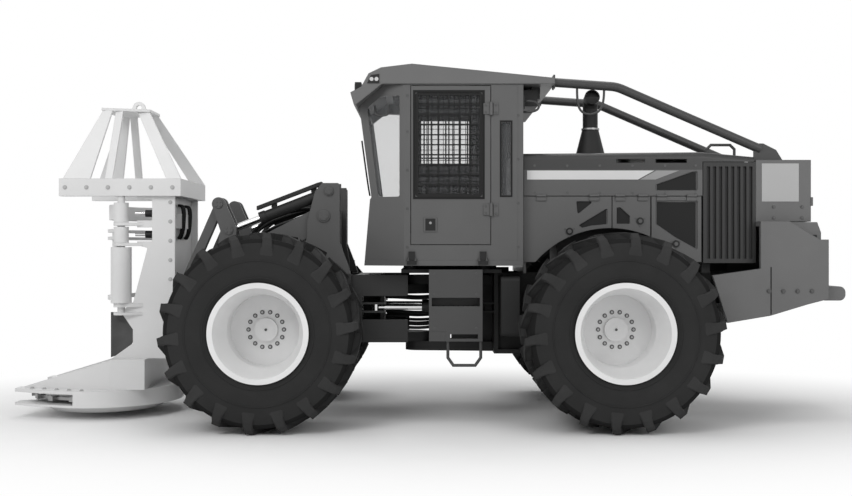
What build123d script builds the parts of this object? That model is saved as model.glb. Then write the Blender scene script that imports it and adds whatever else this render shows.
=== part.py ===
"""Wheeled feller buncher: articulated carrier, cab, engine hood, boom and disc-saw felling head.

Millimetres. +X is forward, +Y is the left side, +Z is up. The origin lies on the ground,
below the middle of the whole machine.
"""
import os
from math import hypot, radians, sqrt, tan

from build123d import *

# Overall sizes
WHEELBASE = 3117
FRONT_OVERHANG = 2420
REAR_OVERHANG = 2152
TRACK = 2175
PIVOT_TO_FRONT_AXLE = 1345
LENGTH = WHEELBASE + FRONT_OVERHANG + REAR_OVERHANG
NOSE_X = LENGTH / 2
TAIL_X = -LENGTH / 2
FRONT_AXLE_X = NOSE_X - FRONT_OVERHANG
REAR_AXLE_X = FRONT_AXLE_X - WHEELBASE
PIVOT_X = FRONT_AXLE_X - PIVOT_TO_FRONT_AXLE

# Fits
SEAT_GAP = 0.3
PIN_GAP = 0.3
DOOR_GAP = 6
RUNNING_GAP = 6

# Wheels
TYRE_RADIUS = 865
TYRE_WIDTH = 775
LUGS_A_SIDE = 18
LUG_WIDTH = 72
LUG_SWEEP = 190
LUG_DEPTH = 65
RIM_RADIUS = 432
RIM_WIDTH = 745
RIM_SEAT_RADIUS = 404
RIM_LIP = 46
BEAD_SHARE = 0.90
DISC_DEPTH = 500
DISC_THICKNESS = 30
DISC_RADIUS = 318
HUB_CAP_RADIUS = 105
HUB_DRUM_RADIUS = 230
AXLE_TUBE_RADIUS = 125
AXLE_PAD_TOP = 1010
WHEEL_Y = TRACK / 2
AXLE_Z = TYRE_RADIUS
DISC_Y = WHEEL_Y + RIM_WIDTH / 2 - DISC_DEPTH
HUB_FACE_Y = DISC_Y - DISC_THICKNESS

# Plates and clevises: every arm runs on the same line, between plates of the same spacing
PLATE = 30
ARM_Y = 415
CLEVIS_GAP = 120
ARM_THICKNESS = CLEVIS_GAP - 2 * RUNNING_GAP
EYE_THICKNESS = CLEVIS_GAP - 2 * PIN_GAP
CLEVIS_OUT = ARM_Y + CLEVIS_GAP / 2
CLEVIS_IN = ARM_Y - CLEVIS_GAP / 2
OUTER_FACE = CLEVIS_OUT + PLATE
INNER_FACE = CLEVIS_IN - PLATE

# Pins of the boom and the tilt linkage, in the side view (x, z)
BOOM_PIN = (957, 1893)
TILT_PIN = (908, 2124)
LEVER_PIN = (1900, 1380)
ROD_PIN = (1846, 1760)
LEVER_TOP = (1940, 2005)
LINK_FOOT = (2330, 1120)
HEAD_PIN = (2280, 600)
BOOM_TUBE = (1700, 1440)
BOOM_LOW_TUBE = (2060, 1000)
LEVER_TUBE = (1866, 1618)
LIFT_FOOT = (850, 1050)
LIFT_TOP = (1700, 1250)
LIFT_Y = 240
STEER_REAR = (-520, 330)
STEER_FRONT = (480, 360)
STEER_Z = 1030

# Rear and front frames
FRAME_TOP = 1360
ENGINE_LOW = 1090
FORK_LOW = 600
FORK_HIGH = 1330
FORK_THICKNESS = 90
FORK_RADIUS = 120
PIVOT_PIN_RADIUS = 45
FRONT_FRAME_HALF = 450
FRONT_FRAME_TOP = 1340
FRONT_FRAME_REAR = 170
FRONT_FRAME_LOW = 705
FRONT_FRAME_NOSE = 1750
RAIL_Y = 330
RAIL_THICKNESS = 40
FRAME_WALL_X = -640
FRAME_HALF = 450
DECK_THICKNESS = 35
DECK_FRONT = 230
DECK_REAR = -700
DECK_HALF = 600
DECK_TOP = FRAME_TOP + DECK_THICKNESS

# Cab
CAB_HALF = 760
CAB_BOTTOM = 1430
CAB_REAR = -887
CAB_WALL = 50
ROOF_LINE = 3086
DOOR_FRONT = 142
DOOR_REAR = -593
DOOR_LOW = 1619
DOOR_HIGH = 3075
GLASS = 12
ROOF_REAR = -1174
ROOF_HALF = 775

# Hood and rear end
PUSH_BAR_DEPTH = 190.5
BUMPER_STEP = 112
HOUSING_LENGTH = 506
HOOD_TAIL = 486
BUMPER_REAR = TAIL_X + PUSH_BAR_DEPTH
HOUSING_REAR = BUMPER_REAR + BUMPER_STEP
GRILLE_REAR = HOUSING_REAR + HOUSING_LENGTH
HOOD_REAR = GRILLE_REAR + 10
HOOD_BREAK = HOOD_REAR + HOOD_TAIL
HOOD_HALF = 660
HOOD_WALL = 25
HOOD_FRONT = CAB_REAR - 13
HOOD_TOP = 2464
HOOD_SEAM = 2072
DOOR_SKIN = 30
ARCH_GAP = 45
GRILLE_LOW = 1454
GRILLE_TOP = 2382
BUMPER_LID = 1669
LID_RISE = 166
HOUSING_HEIGHT = 568
HOUSING_LOW = BUMPER_LID + LID_RISE
HOUSING_TOP = HOUSING_LOW + HOUSING_HEIGHT
BUMPER_HALF = 800
BUMPER_PLATE = 45
TUBE_Y = 590
TUBE_RADIUS = 42

# Felling head
HEAD_BACK = 2410
HEAD_REAR = 2347
HEAD_TOP = 2076
HEAD_FOOT = 560
BAND_TOP = 2239
BAND_HALF = 550
ARM_PIVOT_X = 2850
ARM_PIVOT_Y = 500
ARM_PIN_RADIUS = 35
SAW_X = NOSE_X - 714
SAW_RADIUS = 700
HOUSING_RADIUS = 735
SAW_Z = 199
SAW_THICKNESS = 28
DECK_LOW = 250
DECK_PLATE = 30
EYE_HOLE_RADIUS = 27
TOW_PIN_RADIUS = 30

os.makedirs("parts", exist_ok=True)


def save(builder, name):
    """Labels a finished piece and writes it."""
    builder.part.label = name
    export_step(builder.part, f"parts/{name}.step")


def box(x_span, y_span, z_span, mode=Mode.ADD):
    """A block in the open part, from its limits along each axis."""
    centre = (sum(x_span) / 2, sum(y_span) / 2, sum(z_span) / 2)
    with Locations(centre):
        Box(abs(x_span[1] - x_span[0]), abs(y_span[1] - y_span[0]), abs(z_span[1] - z_span[0]), mode=mode)


def side_plate(outline, y_span, mode=Mode.ADD, corner=0):
    """A side-view (x, z) outline, extruded between two Y planes in the open part."""
    with BuildSketch(Plane.XZ.offset(-max(y_span))) as sketch:
        with BuildLine():
            Polyline(*outline, close=True)
        make_face()
        if corner:
            fillet(sketch.vertices(), corner)
    extrude(sketch.sketch, amount=abs(y_span[1] - y_span[0]), mode=mode)


def level_plate(outline, z_span, mode=Mode.ADD, corner=0):
    """A plan (x, y) outline, extruded between two heights in the open part."""
    with BuildSketch(Plane.XY.offset(min(z_span))) as sketch:
        with BuildLine():
            Polyline(*outline, close=True)
        make_face()
        if corner:
            fillet(sketch.vertices(), corner)
    extrude(sketch.sketch, amount=abs(z_span[1] - z_span[0]), mode=mode)


def bar_plate(circles, y_span, mode=Mode.ADD):
    """A plate round a row of side-view circles (x, z, radius), between two Y planes."""
    with BuildSketch(Plane.XZ.offset(-max(y_span))) as sketch:
        for x, z, radius in circles:
            with Locations((x, z)):
                Circle(radius)
        make_hull()
    extrude(sketch.sketch, amount=abs(y_span[1] - y_span[0]), mode=mode)


def rod(start, end, radius, mode=Mode.ADD):
    """A round bar between two points in the open part."""
    along = Vector(*end) - Vector(*start)
    with BuildSketch(Plane(origin=start, z_dir=along)) as sketch:
        Circle(radius)
    extrude(sketch.sketch, amount=along.length, mode=mode)


def cross_pin(point, y_span, radius, mode=Mode.ADD):
    """A round bar along Y at a side-view point (x, z)."""
    rod((point[0], y_span[0], point[1]), (point[0], y_span[1], point[1]), radius, mode)


def bent_tube(points, bend, radius):
    """A round bar along straight runs joined by arcs, in the open part."""
    with BuildLine() as path:
        FilletPolyline(*points, radius=bend)
    start = Plane(origin=points[0], z_dir=Vector(*points[1]) - Vector(*points[0]))
    with BuildSketch(start) as section:
        Circle(radius)
    sweep(section.sketch, path=path.line)


def mitred_tube(points, radius):
    """A round bar along straight runs with mitred corners, in the open part."""
    with BuildLine() as path:
        Polyline(*points)
    start = Plane(origin=points[0], z_dir=Vector(*points[1]) - Vector(*points[0]))
    with BuildSketch(start) as section:
        Circle(radius)
    sweep(section.sketch, path=path.line, transition=Transition.RIGHT)


def between(start, end, distance):
    """The point that lies a distance from start, on the way to end."""
    span = hypot(*[b - a for a, b in zip(start, end)])
    return tuple(a + (b - a) * distance / span for a, b in zip(start, end))


SIDES = (1, -1)


# Tyres: two faceted halves, half a pitch apart, each facet with one slanted lug
HALF_TYRE = TYRE_WIDTH / 2
PITCH = 360 / LUGS_A_SIDE
LUG_HALF_SPAN = (LUG_SWEEP + LUG_WIDTH) / 2
LUG_TOP = sqrt(TYRE_RADIUS**2 - LUG_HALF_SPAN**2)
CROWN_RADIUS = LUG_TOP - LUG_DEPTH
BULGE_RADIUS = RIM_RADIUS + 208
# one facet's section from the middle to the bead: share of half width, radius
CARCASS = [
    (0, RIM_SEAT_RADIUS - 40),
    (0, CROWN_RADIUS),
    (0.91, CROWN_RADIUS),
    (1.00, BULGE_RADIUS),
    (BEAD_SHARE, RIM_RADIUS + 14),
    (BEAD_SHARE, RIM_SEAT_RADIUS - 40),
]
# lug seen along the tread: share of half width, height above the axle
LUG_PROFILE = [
    (0.02, BULGE_RADIUS + 60),
    (0.02, LUG_TOP),
    (0.89, LUG_TOP),
    (0.995, CROWN_RADIUS - 55),
    (0.95, BULGE_RADIUS + 60),
]

with BuildPart() as lug:
    level_plate(
        [
            (-LUG_HALF_SPAN, HALF_TYRE),
            (LUG_WIDTH - LUG_HALF_SPAN, HALF_TYRE),
            (LUG_HALF_SPAN, 0),
            (LUG_HALF_SPAN - LUG_WIDTH, 0),
        ],
        (BULGE_RADIUS, TYRE_RADIUS),
    )
    with BuildSketch(Plane.YZ.offset(-TYRE_RADIUS)) as profile:
        with BuildLine():
            Polyline(*[(share * HALF_TYRE, z) for share, z in LUG_PROFILE], close=True)
        make_face()
    extrude(profile.sketch, amount=2 * TYRE_RADIUS, mode=Mode.INTERSECT)

with BuildPart() as sector:
    with BuildSketch(Plane.YZ.offset(-TYRE_RADIUS)) as profile:
        with BuildLine():
            Polyline(*[(share * HALF_TYRE, z) for share, z in CARCASS], close=True)
        make_face()
    extrude(profile.sketch, amount=2 * TYRE_RADIUS)
    wedge_half = TYRE_RADIUS * tan(radians(PITCH / 2))
    wedge = [(0, 0), (-wedge_half, TYRE_RADIUS), (wedge_half, TYRE_RADIUS)]
    side_plate(wedge, (0, TYRE_WIDTH), Mode.INTERSECT)
    add(lug.part)

with BuildPart() as half_tyre:
    add([sector.part.rotate(Axis.Y, step * PITCH) for step in range(LUGS_A_SIDE)])

with BuildPart() as tyre:
    add(half_tyre.part)
    add(mirror(half_tyre.part, about=Plane.XZ, mode=Mode.PRIVATE).rotate(Axis.Y, PITCH / 2))
    cross_pin((0, 0), (-TYRE_WIDTH, TYRE_WIDTH), RIM_SEAT_RADIUS + SEAT_GAP, Mode.SUBTRACT)

# Rims: flanges, tapered barrel and deep-set disc, turned about the axle
HALF_RIM = RIM_WIDTH / 2
DISC_OUT = HALF_RIM - DISC_DEPTH
DISC_IN = DISC_OUT - DISC_THICKNESS
BEAD_Y = BEAD_SHARE * HALF_TYRE + SEAT_GAP

with BuildPart() as rim:
    with BuildSketch(Plane.XY) as section:
        with BuildLine():
            Polyline(
                (0, DISC_OUT + 28),
                (HUB_CAP_RADIUS, DISC_OUT + 28),
                (HUB_CAP_RADIUS, DISC_OUT),
                (DISC_RADIUS, DISC_OUT),
                (DISC_RADIUS, HALF_RIM - 300),
                (RIM_RADIUS - RIM_LIP, HALF_RIM),
                (RIM_RADIUS, HALF_RIM),
                (RIM_SEAT_RADIUS, BEAD_Y),
                (RIM_SEAT_RADIUS, -BEAD_Y),
                (RIM_RADIUS, -HALF_RIM),
                (RIM_RADIUS - RIM_LIP, -HALF_RIM),
                (DISC_RADIUS + 26, DISC_IN),
                (0, DISC_IN),
                close=True,
            )
        make_face()
    revolve(axis=Axis.Y)

right_tyre = mirror(tyre.part, about=Plane.XZ, mode=Mode.PRIVATE)
right_rim = mirror(rim.part, about=Plane.XZ, mode=Mode.PRIVATE)
# corner name, axle, side
CORNERS = [
    ("front_left", FRONT_AXLE_X, 1),
    ("front_right", FRONT_AXLE_X, -1),
    ("rear_left", REAR_AXLE_X, 1),
    ("rear_right", REAR_AXLE_X, -1),
]
for corner, axle_x, side in CORNERS:
    with BuildPart() as placed_tyre:
        with Locations((axle_x, side * WHEEL_Y, AXLE_Z)):
            add(tyre.part if side > 0 else right_tyre)
    save(placed_tyre, f"tyre_{corner}")
    with BuildPart() as placed_rim:
        with Locations((axle_x, side * WHEEL_Y, AXLE_Z)):
            add(rim.part if side > 0 else right_rim)
    save(placed_rim, f"rim_{corner}")

# Axles: tube, hub drums, differential bowl and frame pads
# axle name, place, pad span across
AXLES = [
    ("front_axle", FRONT_AXLE_X, (CLEVIS_IN - PLATE, OUTER_FACE)),
    ("rear_axle", REAR_AXLE_X, (RAIL_Y - 30, RAIL_Y + RAIL_THICKNESS + 30)),
]
for name, axle_x, pad_span in AXLES:
    with BuildPart() as axle:
        cross_pin((axle_x, AXLE_Z), (SEAT_GAP - HUB_FACE_Y, HUB_FACE_Y - SEAT_GAP), AXLE_TUBE_RADIUS)
        for bowl_half, bowl_radius in ((120, 1.7 * AXLE_TUBE_RADIUS), (210, 1.35 * AXLE_TUBE_RADIUS)):
            cross_pin((axle_x, AXLE_Z), (-bowl_half, bowl_half), bowl_radius)
        for side in SIDES:
            drum = (side * (HUB_FACE_Y - 200), side * (HUB_FACE_Y - SEAT_GAP))
            cross_pin((axle_x, AXLE_Z), drum, HUB_DRUM_RADIUS)
            pad = [side * y for y in pad_span]
            box((axle_x - 150, axle_x + 150), pad, (AXLE_Z, AXLE_PAD_TOP - SEAT_GAP))
    save(axle, name)

# Rear frame: articulation forks, cross wall, belly, engine rails and cab deck
FORK_LOW_TOP = FORK_LOW + FORK_THICKNESS
FORK_HIGH_LOW = FORK_HIGH - FORK_THICKNESS
RAIL_OUT = RAIL_Y + RAIL_THICKNESS
RAIL_REAR = -2700
BELLY_REAR = -1250

with BuildPart() as rear_frame:
    for fork_z in (FORK_LOW, FORK_HIGH_LOW):
        with BuildSketch(Plane.XY.offset(fork_z)) as fork:
            with Locations((PIVOT_X, 0)):
                Circle(FORK_RADIUS)
            with Locations((FRAME_WALL_X, 170), (FRAME_WALL_X, -170)):
                Circle(30)
            make_hull()
        extrude(fork.sketch, amount=FORK_THICKNESS)
    for pin_z in (FORK_LOW, FORK_HIGH_LOW - FORK_THICKNESS):
        rod((PIVOT_X, 0, pin_z), (PIVOT_X, 0, pin_z + 2 * FORK_THICKNESS), PIVOT_PIN_RADIUS - PIN_GAP)
    box((FRAME_WALL_X, -250), (-110, 110), (FORK_LOW_TOP, FORK_HIGH_LOW))
    box((FRAME_WALL_X - 40, FRAME_WALL_X), (-FRAME_HALF, FRAME_HALF), (FORK_LOW, FRAME_TOP))
    box((BELLY_REAR, FRAME_WALL_X), (-FRAME_HALF, FRAME_HALF), (FORK_LOW, FORK_LOW + 40))
    for side in SIDES:
        side_plate(
            [
                (FRAME_WALL_X, FRAME_TOP),
                (FRAME_WALL_X, FORK_LOW),
                (BELLY_REAR, FORK_LOW),
                (REAR_AXLE_X + 260, AXLE_PAD_TOP),
                (REAR_AXLE_X - 260, AXLE_PAD_TOP),
                (RAIL_REAR, 960),
                (RAIL_REAR, FRAME_TOP),
            ],
            (side * RAIL_Y, side * RAIL_OUT),
        )
        for step in (-1, 1):
            low = STEER_Z + step * (CLEVIS_GAP / 4)
            level_plate(
                [
                    (FRAME_WALL_X, side * (STEER_REAR[1] - 70)),
                    (FRAME_WALL_X, side * (STEER_REAR[1] + 70)),
                    (STEER_REAR[0] + 34, side * (STEER_REAR[1] + 34)),
                    (STEER_REAR[0] + 34, side * (STEER_REAR[1] - 34)),
                ],
                (low, low + step * 20),
            )
    for cross_x in (-1300, -2350):
        box((cross_x - 40, cross_x + 40), (-RAIL_Y, RAIL_Y), (AXLE_PAD_TOP, ENGINE_LOW))
    box((DECK_REAR, DECK_FRONT), (-DECK_HALF, DECK_HALF), (FRAME_TOP, DECK_TOP))
    box((-420, -60), (-110, 110), (FORK_HIGH, FRAME_TOP))
save(rear_frame, "rear_frame")

# Front frame: tongues, rear box, double tower plates and lift clevises
TONGUE_LOW = FORK_LOW_TOP + PIN_GAP
TONGUE_HIGH = FORK_HIGH_LOW - PIN_GAP
TOWER_OUTLINE = [
    (700, FRONT_FRAME_LOW),
    (700, FRONT_FRAME_TOP),
    (736, 1459),
    (806, 1640),
    (806, 2200),
    (973, 2200),
    (1037, 2124),
    (1112, 1835),
    (1112, 1695),
    (1200, 1420),
    (FRONT_FRAME_NOSE, 1180),
    (FRONT_FRAME_NOSE, AXLE_PAD_TOP),
    (1160, AXLE_PAD_TOP),
    (960, FRONT_FRAME_LOW),
]

with BuildPart() as front_frame:
    for low in (TONGUE_LOW, TONGUE_HIGH - FORK_THICKNESS):
        with BuildSketch(Plane.XY.offset(low)) as tongue:
            with Locations((PIVOT_X, 0)):
                Circle(FORK_RADIUS)
            with Locations((440, 240), (440, -240)):
                Circle(30)
            make_hull()
        extrude(tongue.sketch, amount=FORK_THICKNESS)
        rod((PIVOT_X, 0, low), (PIVOT_X, 0, low + FORK_THICKNESS), PIVOT_PIN_RADIUS, Mode.SUBTRACT)
    box((620, 660), (-FRONT_FRAME_HALF, FRONT_FRAME_HALF), (FRONT_FRAME_LOW, FRONT_FRAME_TOP))
    box((400, 440), (-240, 240), (TONGUE_LOW, TONGUE_HIGH))
    box((420, 640), (-FRONT_FRAME_HALF, FRONT_FRAME_HALF), (FRONT_FRAME_LOW, FRONT_FRAME_LOW + 40))
    box((420, 640), (-FRONT_FRAME_HALF, FRONT_FRAME_HALF), (FRONT_FRAME_TOP - 30, FRONT_FRAME_TOP))
    box((640, 1000), (-FRONT_FRAME_HALF, FRONT_FRAME_HALF), (FRONT_FRAME_LOW, FRONT_FRAME_LOW + 40))
    box((880, 910), (-INNER_FACE, INNER_FACE), (1250, 2000))
    box((FRONT_FRAME_NOSE - 60, FRONT_FRAME_NOSE), (-OUTER_FACE, OUTER_FACE), (AXLE_PAD_TOP, 1120))
    for side in SIDES:
        side_plate(
            [
                (FRONT_FRAME_REAR, FRONT_FRAME_LOW),
                (FRONT_FRAME_REAR, STEER_Z - 110),
                (600, STEER_Z - 110),
                (600, STEER_Z + 110),
                (FRONT_FRAME_REAR, STEER_Z + 110),
                (FRONT_FRAME_REAR, FRONT_FRAME_TOP),
                (760, FRONT_FRAME_TOP),
                (760, FRONT_FRAME_LOW),
            ],
            (side * (FRONT_FRAME_HALF - PLATE), side * FRONT_FRAME_HALF),
        )
        side_plate(TOWER_OUTLINE, (side * CLEVIS_OUT, side * OUTER_FACE), corner=24)
        inner_outline = [(max(x, 775) if z > 1300 else x, z) for x, z in TOWER_OUTLINE]
        side_plate(inner_outline, (side * INNER_FACE, side * CLEVIS_IN))
        box((700, 760), (side * CLEVIS_IN, side * CLEVIS_OUT), (FRONT_FRAME_LOW, FRONT_FRAME_TOP))
        for step in (-1, 1):
            low = STEER_Z + step * (CLEVIS_GAP / 4)
            level_plate(
                [
                    (STEER_FRONT[0] - 90, side * (FRONT_FRAME_HALF - PLATE)),
                    (620, side * (FRONT_FRAME_HALF - PLATE)),
                    (620, side * (STEER_FRONT[1] - 60)),
                    (STEER_FRONT[0] - 60, side * (STEER_FRONT[1] - 60)),
                ],
                (low, low + step * 20),
            )
            cheek = side * LIFT_Y + step * (CLEVIS_GAP / 2)
            side_plate(
                [
                    (LIFT_FOOT[0] - 150, FRONT_FRAME_LOW),
                    (LIFT_FOOT[0] - 80, LIFT_FOOT[1] + 70),
                    (LIFT_FOOT[0] + 60, LIFT_FOOT[1] + 70),
                    (LIFT_FOOT[0] + 140, FRONT_FRAME_LOW),
                ],
                (cheek, cheek + step * 20),
            )
    for pin, radius in ((BOOM_PIN, 60), (TILT_PIN, 45)):
        for side in SIDES:
            boss = (side * OUTER_FACE, side * (OUTER_FACE + 14))
            cross_pin(pin, boss, radius)
save(front_frame, "front_frame")

# Boom: two cranked arms with pivot bosses, joined by cross tubes with lift lugs
with BuildPart() as boom:
    for side in SIDES:
        span = (side * (ARM_Y - ARM_THICKNESS / 2), side * (ARM_Y + ARM_THICKNESS / 2))
        boss = (side * (ARM_Y - EYE_THICKNESS / 2), side * (ARM_Y + EYE_THICKNESS / 2))
        bar_plate([(*BOOM_PIN, 100), (*LEVER_PIN, 130)], span)
        bar_plate([(*LEVER_PIN, 130), (*HEAD_PIN, 95)], span)
        for pin, radius in ((BOOM_PIN, 80), (LEVER_PIN, 80), (HEAD_PIN, 80)):
            cross_pin(pin, boss, radius)
        for step in (-1, 1):
            cheek = side * LIFT_Y + step * (CLEVIS_GAP / 2)
            bar_plate([(*LIFT_TOP, 60), (*BOOM_TUBE, 60)], (cheek, cheek + step * 20))
    cross_pin(BOOM_TUBE, (-ARM_Y, ARM_Y), 80)
    cross_pin(BOOM_LOW_TUBE, (-ARM_Y, ARM_Y), 75)
save(boom, "boom")

# Tilt levers: a pair of plates each side, over the boom arm, with a cross tube at the top
with BuildPart() as tilt_levers:
    for side in SIDES:
        for face in (CLEVIS_OUT, INNER_FACE):
            span = (side * face, side * (face + PLATE))
            bar_plate([(*LEVER_PIN, 85), (*ROD_PIN, 75)], span)
            bar_plate([(*ROD_PIN, 75), (*LEVER_TOP, 62)], span)
        cross_pin(LEVER_TUBE, (side * CLEVIS_IN, side * CLEVIS_OUT), 18)
    cross_pin(LEVER_TUBE, (-CLEVIS_IN, CLEVIS_IN), 45)
save(tilt_levers, "tilt_levers")

# Tilt links: straight bars from the lever tops to the head
with BuildPart() as tilt_links:
    for side in SIDES:
        span = (side * (ARM_Y - 40), side * (ARM_Y + 40))
        eye = (side * (ARM_Y - EYE_THICKNESS / 2), side * (ARM_Y + EYE_THICKNESS / 2))
        bar_plate([(*LEVER_TOP, 42), (*LINK_FOOT, 42)], span)
        cross_pin(LEVER_TOP, eye, 48)
        cross_pin(LINK_FOOT, eye, 55)
save(tilt_links, "tilt_links")


def ram_barrels(foot, top, rows, size, eye_thickness):
    """Barrels from a foot pin towards a top pin: an eye, a tube with a deep bore and a gland ring."""
    mouth = between(foot, top, size["barrel"])
    blind = between(foot, top, size["eye"] + 20)
    ring = between(foot, top, size["barrel"] - 60)
    for y in rows:
        cross_pin(foot, (y - eye_thickness / 2, y + eye_thickness / 2), size["eye"])
        rod((foot[0], y, foot[1]), (mouth[0], y, mouth[1]), size["tube"])
        rod((ring[0], y, ring[1]), (mouth[0], y, mouth[1]), size["tube"] + 8)
        rod((blind[0], y, blind[1]), (mouth[0], y, mouth[1]), size["rod"] + PIN_GAP, Mode.SUBTRACT)


def ram_rods(foot, top, rows, size, eye_thickness):
    """Rods that end in an eye at the top pin and reach down into the barrels."""
    inner = between(foot, top, size["reach"])
    for y in rows:
        cross_pin(top, (y - eye_thickness / 2, y + eye_thickness / 2), size["eye"])
        rod((inner[0], y, inner[1]), (top[0], y, top[1]), size["rod"])


# ram sizes: barrel length from the foot pin, start of the rod, and radii of tube, rod and eye
LIFT_RAM = {"barrel": 770, "reach": 130, "tube": 55, "rod": 34, "eye": 58}
TILT_RAM = {"barrel": 700, "reach": 190, "tube": 52, "rod": 34, "eye": 56}
STEER_RAM = {"barrel": 560, "reach": 300, "tube": 42, "rod": 25, "eye": 40}

with BuildPart() as lift_barrels:
    ram_barrels(LIFT_FOOT, LIFT_TOP, (LIFT_Y, -LIFT_Y), LIFT_RAM, EYE_THICKNESS)
save(lift_barrels, "lift_barrels")

with BuildPart() as lift_rods:
    ram_rods(LIFT_FOOT, LIFT_TOP, (LIFT_Y, -LIFT_Y), LIFT_RAM, EYE_THICKNESS)
save(lift_rods, "lift_rods")

with BuildPart() as tilt_barrels:
    ram_barrels(TILT_PIN, ROD_PIN, (ARM_Y, -ARM_Y), TILT_RAM, EYE_THICKNESS)
    for side in SIDES:
        side_plate(
            [(980, 2215), (1020, 2205), (1590, 1985), (1590, 1950), (960, 2190)],
            (side * (ARM_Y - 50), side * (ARM_Y + 50)),
        )
        for clip in (160, 560):
            foot = between(TILT_PIN, ROD_PIN, clip)
            across = (side * (ARM_Y - 20), side * (ARM_Y + 20))
            box((foot[0] - 25, foot[0] + 25), across, (foot[1] + 50, foot[1] + 105))
save(tilt_barrels, "tilt_barrels")

with BuildPart() as tilt_rods:
    ram_rods(TILT_PIN, ROD_PIN, (ARM_Y, -ARM_Y), TILT_RAM, EYE_THICKNESS)
save(tilt_rods, "tilt_rods")

STEER_EYE = CLEVIS_GAP / 2 - 2 * PIN_GAP
for side, side_name in ((1, "left"), (-1, "right")):
    foot = (STEER_REAR[0], side * STEER_REAR[1], STEER_Z)
    top = (STEER_FRONT[0], side * STEER_FRONT[1], STEER_Z)
    mouth = between(foot, top, STEER_RAM["barrel"])
    blind = between(foot, top, STEER_RAM["eye"] + 22)
    tube_start = between(foot, top, STEER_RAM["eye"] + 14)
    inner = between(foot, top, STEER_RAM["reach"])
    with BuildPart() as steer_barrel:
        rod((*foot[:2], STEER_Z - STEER_EYE / 2), (*foot[:2], STEER_Z + STEER_EYE / 2), STEER_RAM["eye"])
        rod(foot, blind, STEER_RAM["rod"])
        rod(tube_start, mouth, STEER_RAM["tube"])
        rod(blind, mouth, STEER_RAM["rod"] + PIN_GAP, Mode.SUBTRACT)
    save(steer_barrel, f"steer_barrel_{side_name}")
    with BuildPart() as steer_rod:
        rod((*top[:2], STEER_Z - STEER_EYE / 2), (*top[:2], STEER_Z + STEER_EYE / 2), STEER_RAM["eye"])
        rod(inner, top, STEER_RAM["rod"])
    save(steer_rod, f"steer_rod_{side_name}")

# Cab body: one shell, tapered to the front, with its windows and door opening cut
CAB_TAPER_X = 200
CAB_FRONT = 660
CAB_FRONT_HALF = 555
CAB_PLAN = [
    (CAB_REAR, -CAB_HALF),
    (CAB_TAPER_X, -CAB_HALF),
    (CAB_FRONT, -CAB_FRONT_HALF),
    (CAB_FRONT, CAB_FRONT_HALF),
    (CAB_TAPER_X, CAB_HALF),
    (CAB_REAR, CAB_HALF),
]
VISOR_FOOT = (640, 2894)
CAB_TOE_X = 572
CAB_SILL = (518, 2040)
GLASS_FOOT = (505, 2060)
CAB_SIDE = [
    (CAB_REAR, CAB_BOTTOM),
    (CAB_TOE_X, CAB_BOTTOM),
    CAB_SILL,
    GLASS_FOOT,
    (VISOR_FOOT[0] - 20, VISOR_FOOT[1] + 16 - SEAT_GAP),
    (400, ROOF_LINE - SEAT_GAP),
    (CAB_REAR, ROOF_LINE - SEAT_GAP),
]
CAB_HEIGHT = ROOF_LINE - CAB_BOTTOM

with BuildPart() as cab_inside:
    with BuildSketch(Plane.XY.offset(CAB_BOTTOM + CAB_WALL)) as plan:
        with BuildLine():
            Polyline(*CAB_PLAN, close=True)
        make_face()
        offset(amount=-CAB_WALL, mode=Mode.REPLACE)
    extrude(plan.sketch, amount=CAB_HEIGHT)
    with BuildSketch(Plane.XZ.offset(-CAB_HALF)) as side_view:
        with BuildLine():
            Polyline(
                (CAB_REAR, CAB_BOTTOM),
                (CAB_TOE_X - CAB_WALL, CAB_BOTTOM),
                (CAB_SILL[0] - CAB_WALL, CAB_SILL[1]),
                (GLASS_FOOT[0] - CAB_WALL, GLASS_FOOT[1]),
                (VISOR_FOOT[0] - CAB_WALL, ROOF_LINE + 114),
                (CAB_REAR, ROOF_LINE + 114),
                close=True,
            )
        make_face()
    extrude(side_view.sketch, amount=2 * CAB_HALF, mode=Mode.INTERSECT)

DOOR_OPENING = [
    (DOOR_FRONT, DOOR_LOW),
    (DOOR_FRONT, DOOR_HIGH),
    (DOOR_REAR, DOOR_HIGH),
    (DOOR_REAR, DOOR_LOW),
]
# side windows seen from the left: outline, and the sides that have it
QUARTER_WINDOW = [(242, 2062), (440, 2062), (545, 2880), (420, 2985), (242, 2985)]
REAR_SIDE_WINDOW = [(-687, 2070), (-773, 2070), (-773, 2740), (-687, 2740)]
DOOR_WINDOW = [(96, 2059), (96, 3008), (-513, 3008), (-513, 2059)]
RIGHT_WINDOW = DOOR_WINDOW
SIDE_WINDOWS = [(QUARTER_WINDOW, SIDES), (REAR_SIDE_WINDOW, SIDES), (RIGHT_WINDOW, (-1,))]
FRONT_WINDOW_HALF = 470
FRONT_WINDOW_Z = (2110, 2850)
REAR_WINDOW_HALF = 560
REAR_WINDOW_Z = (2490, 2900)

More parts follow.
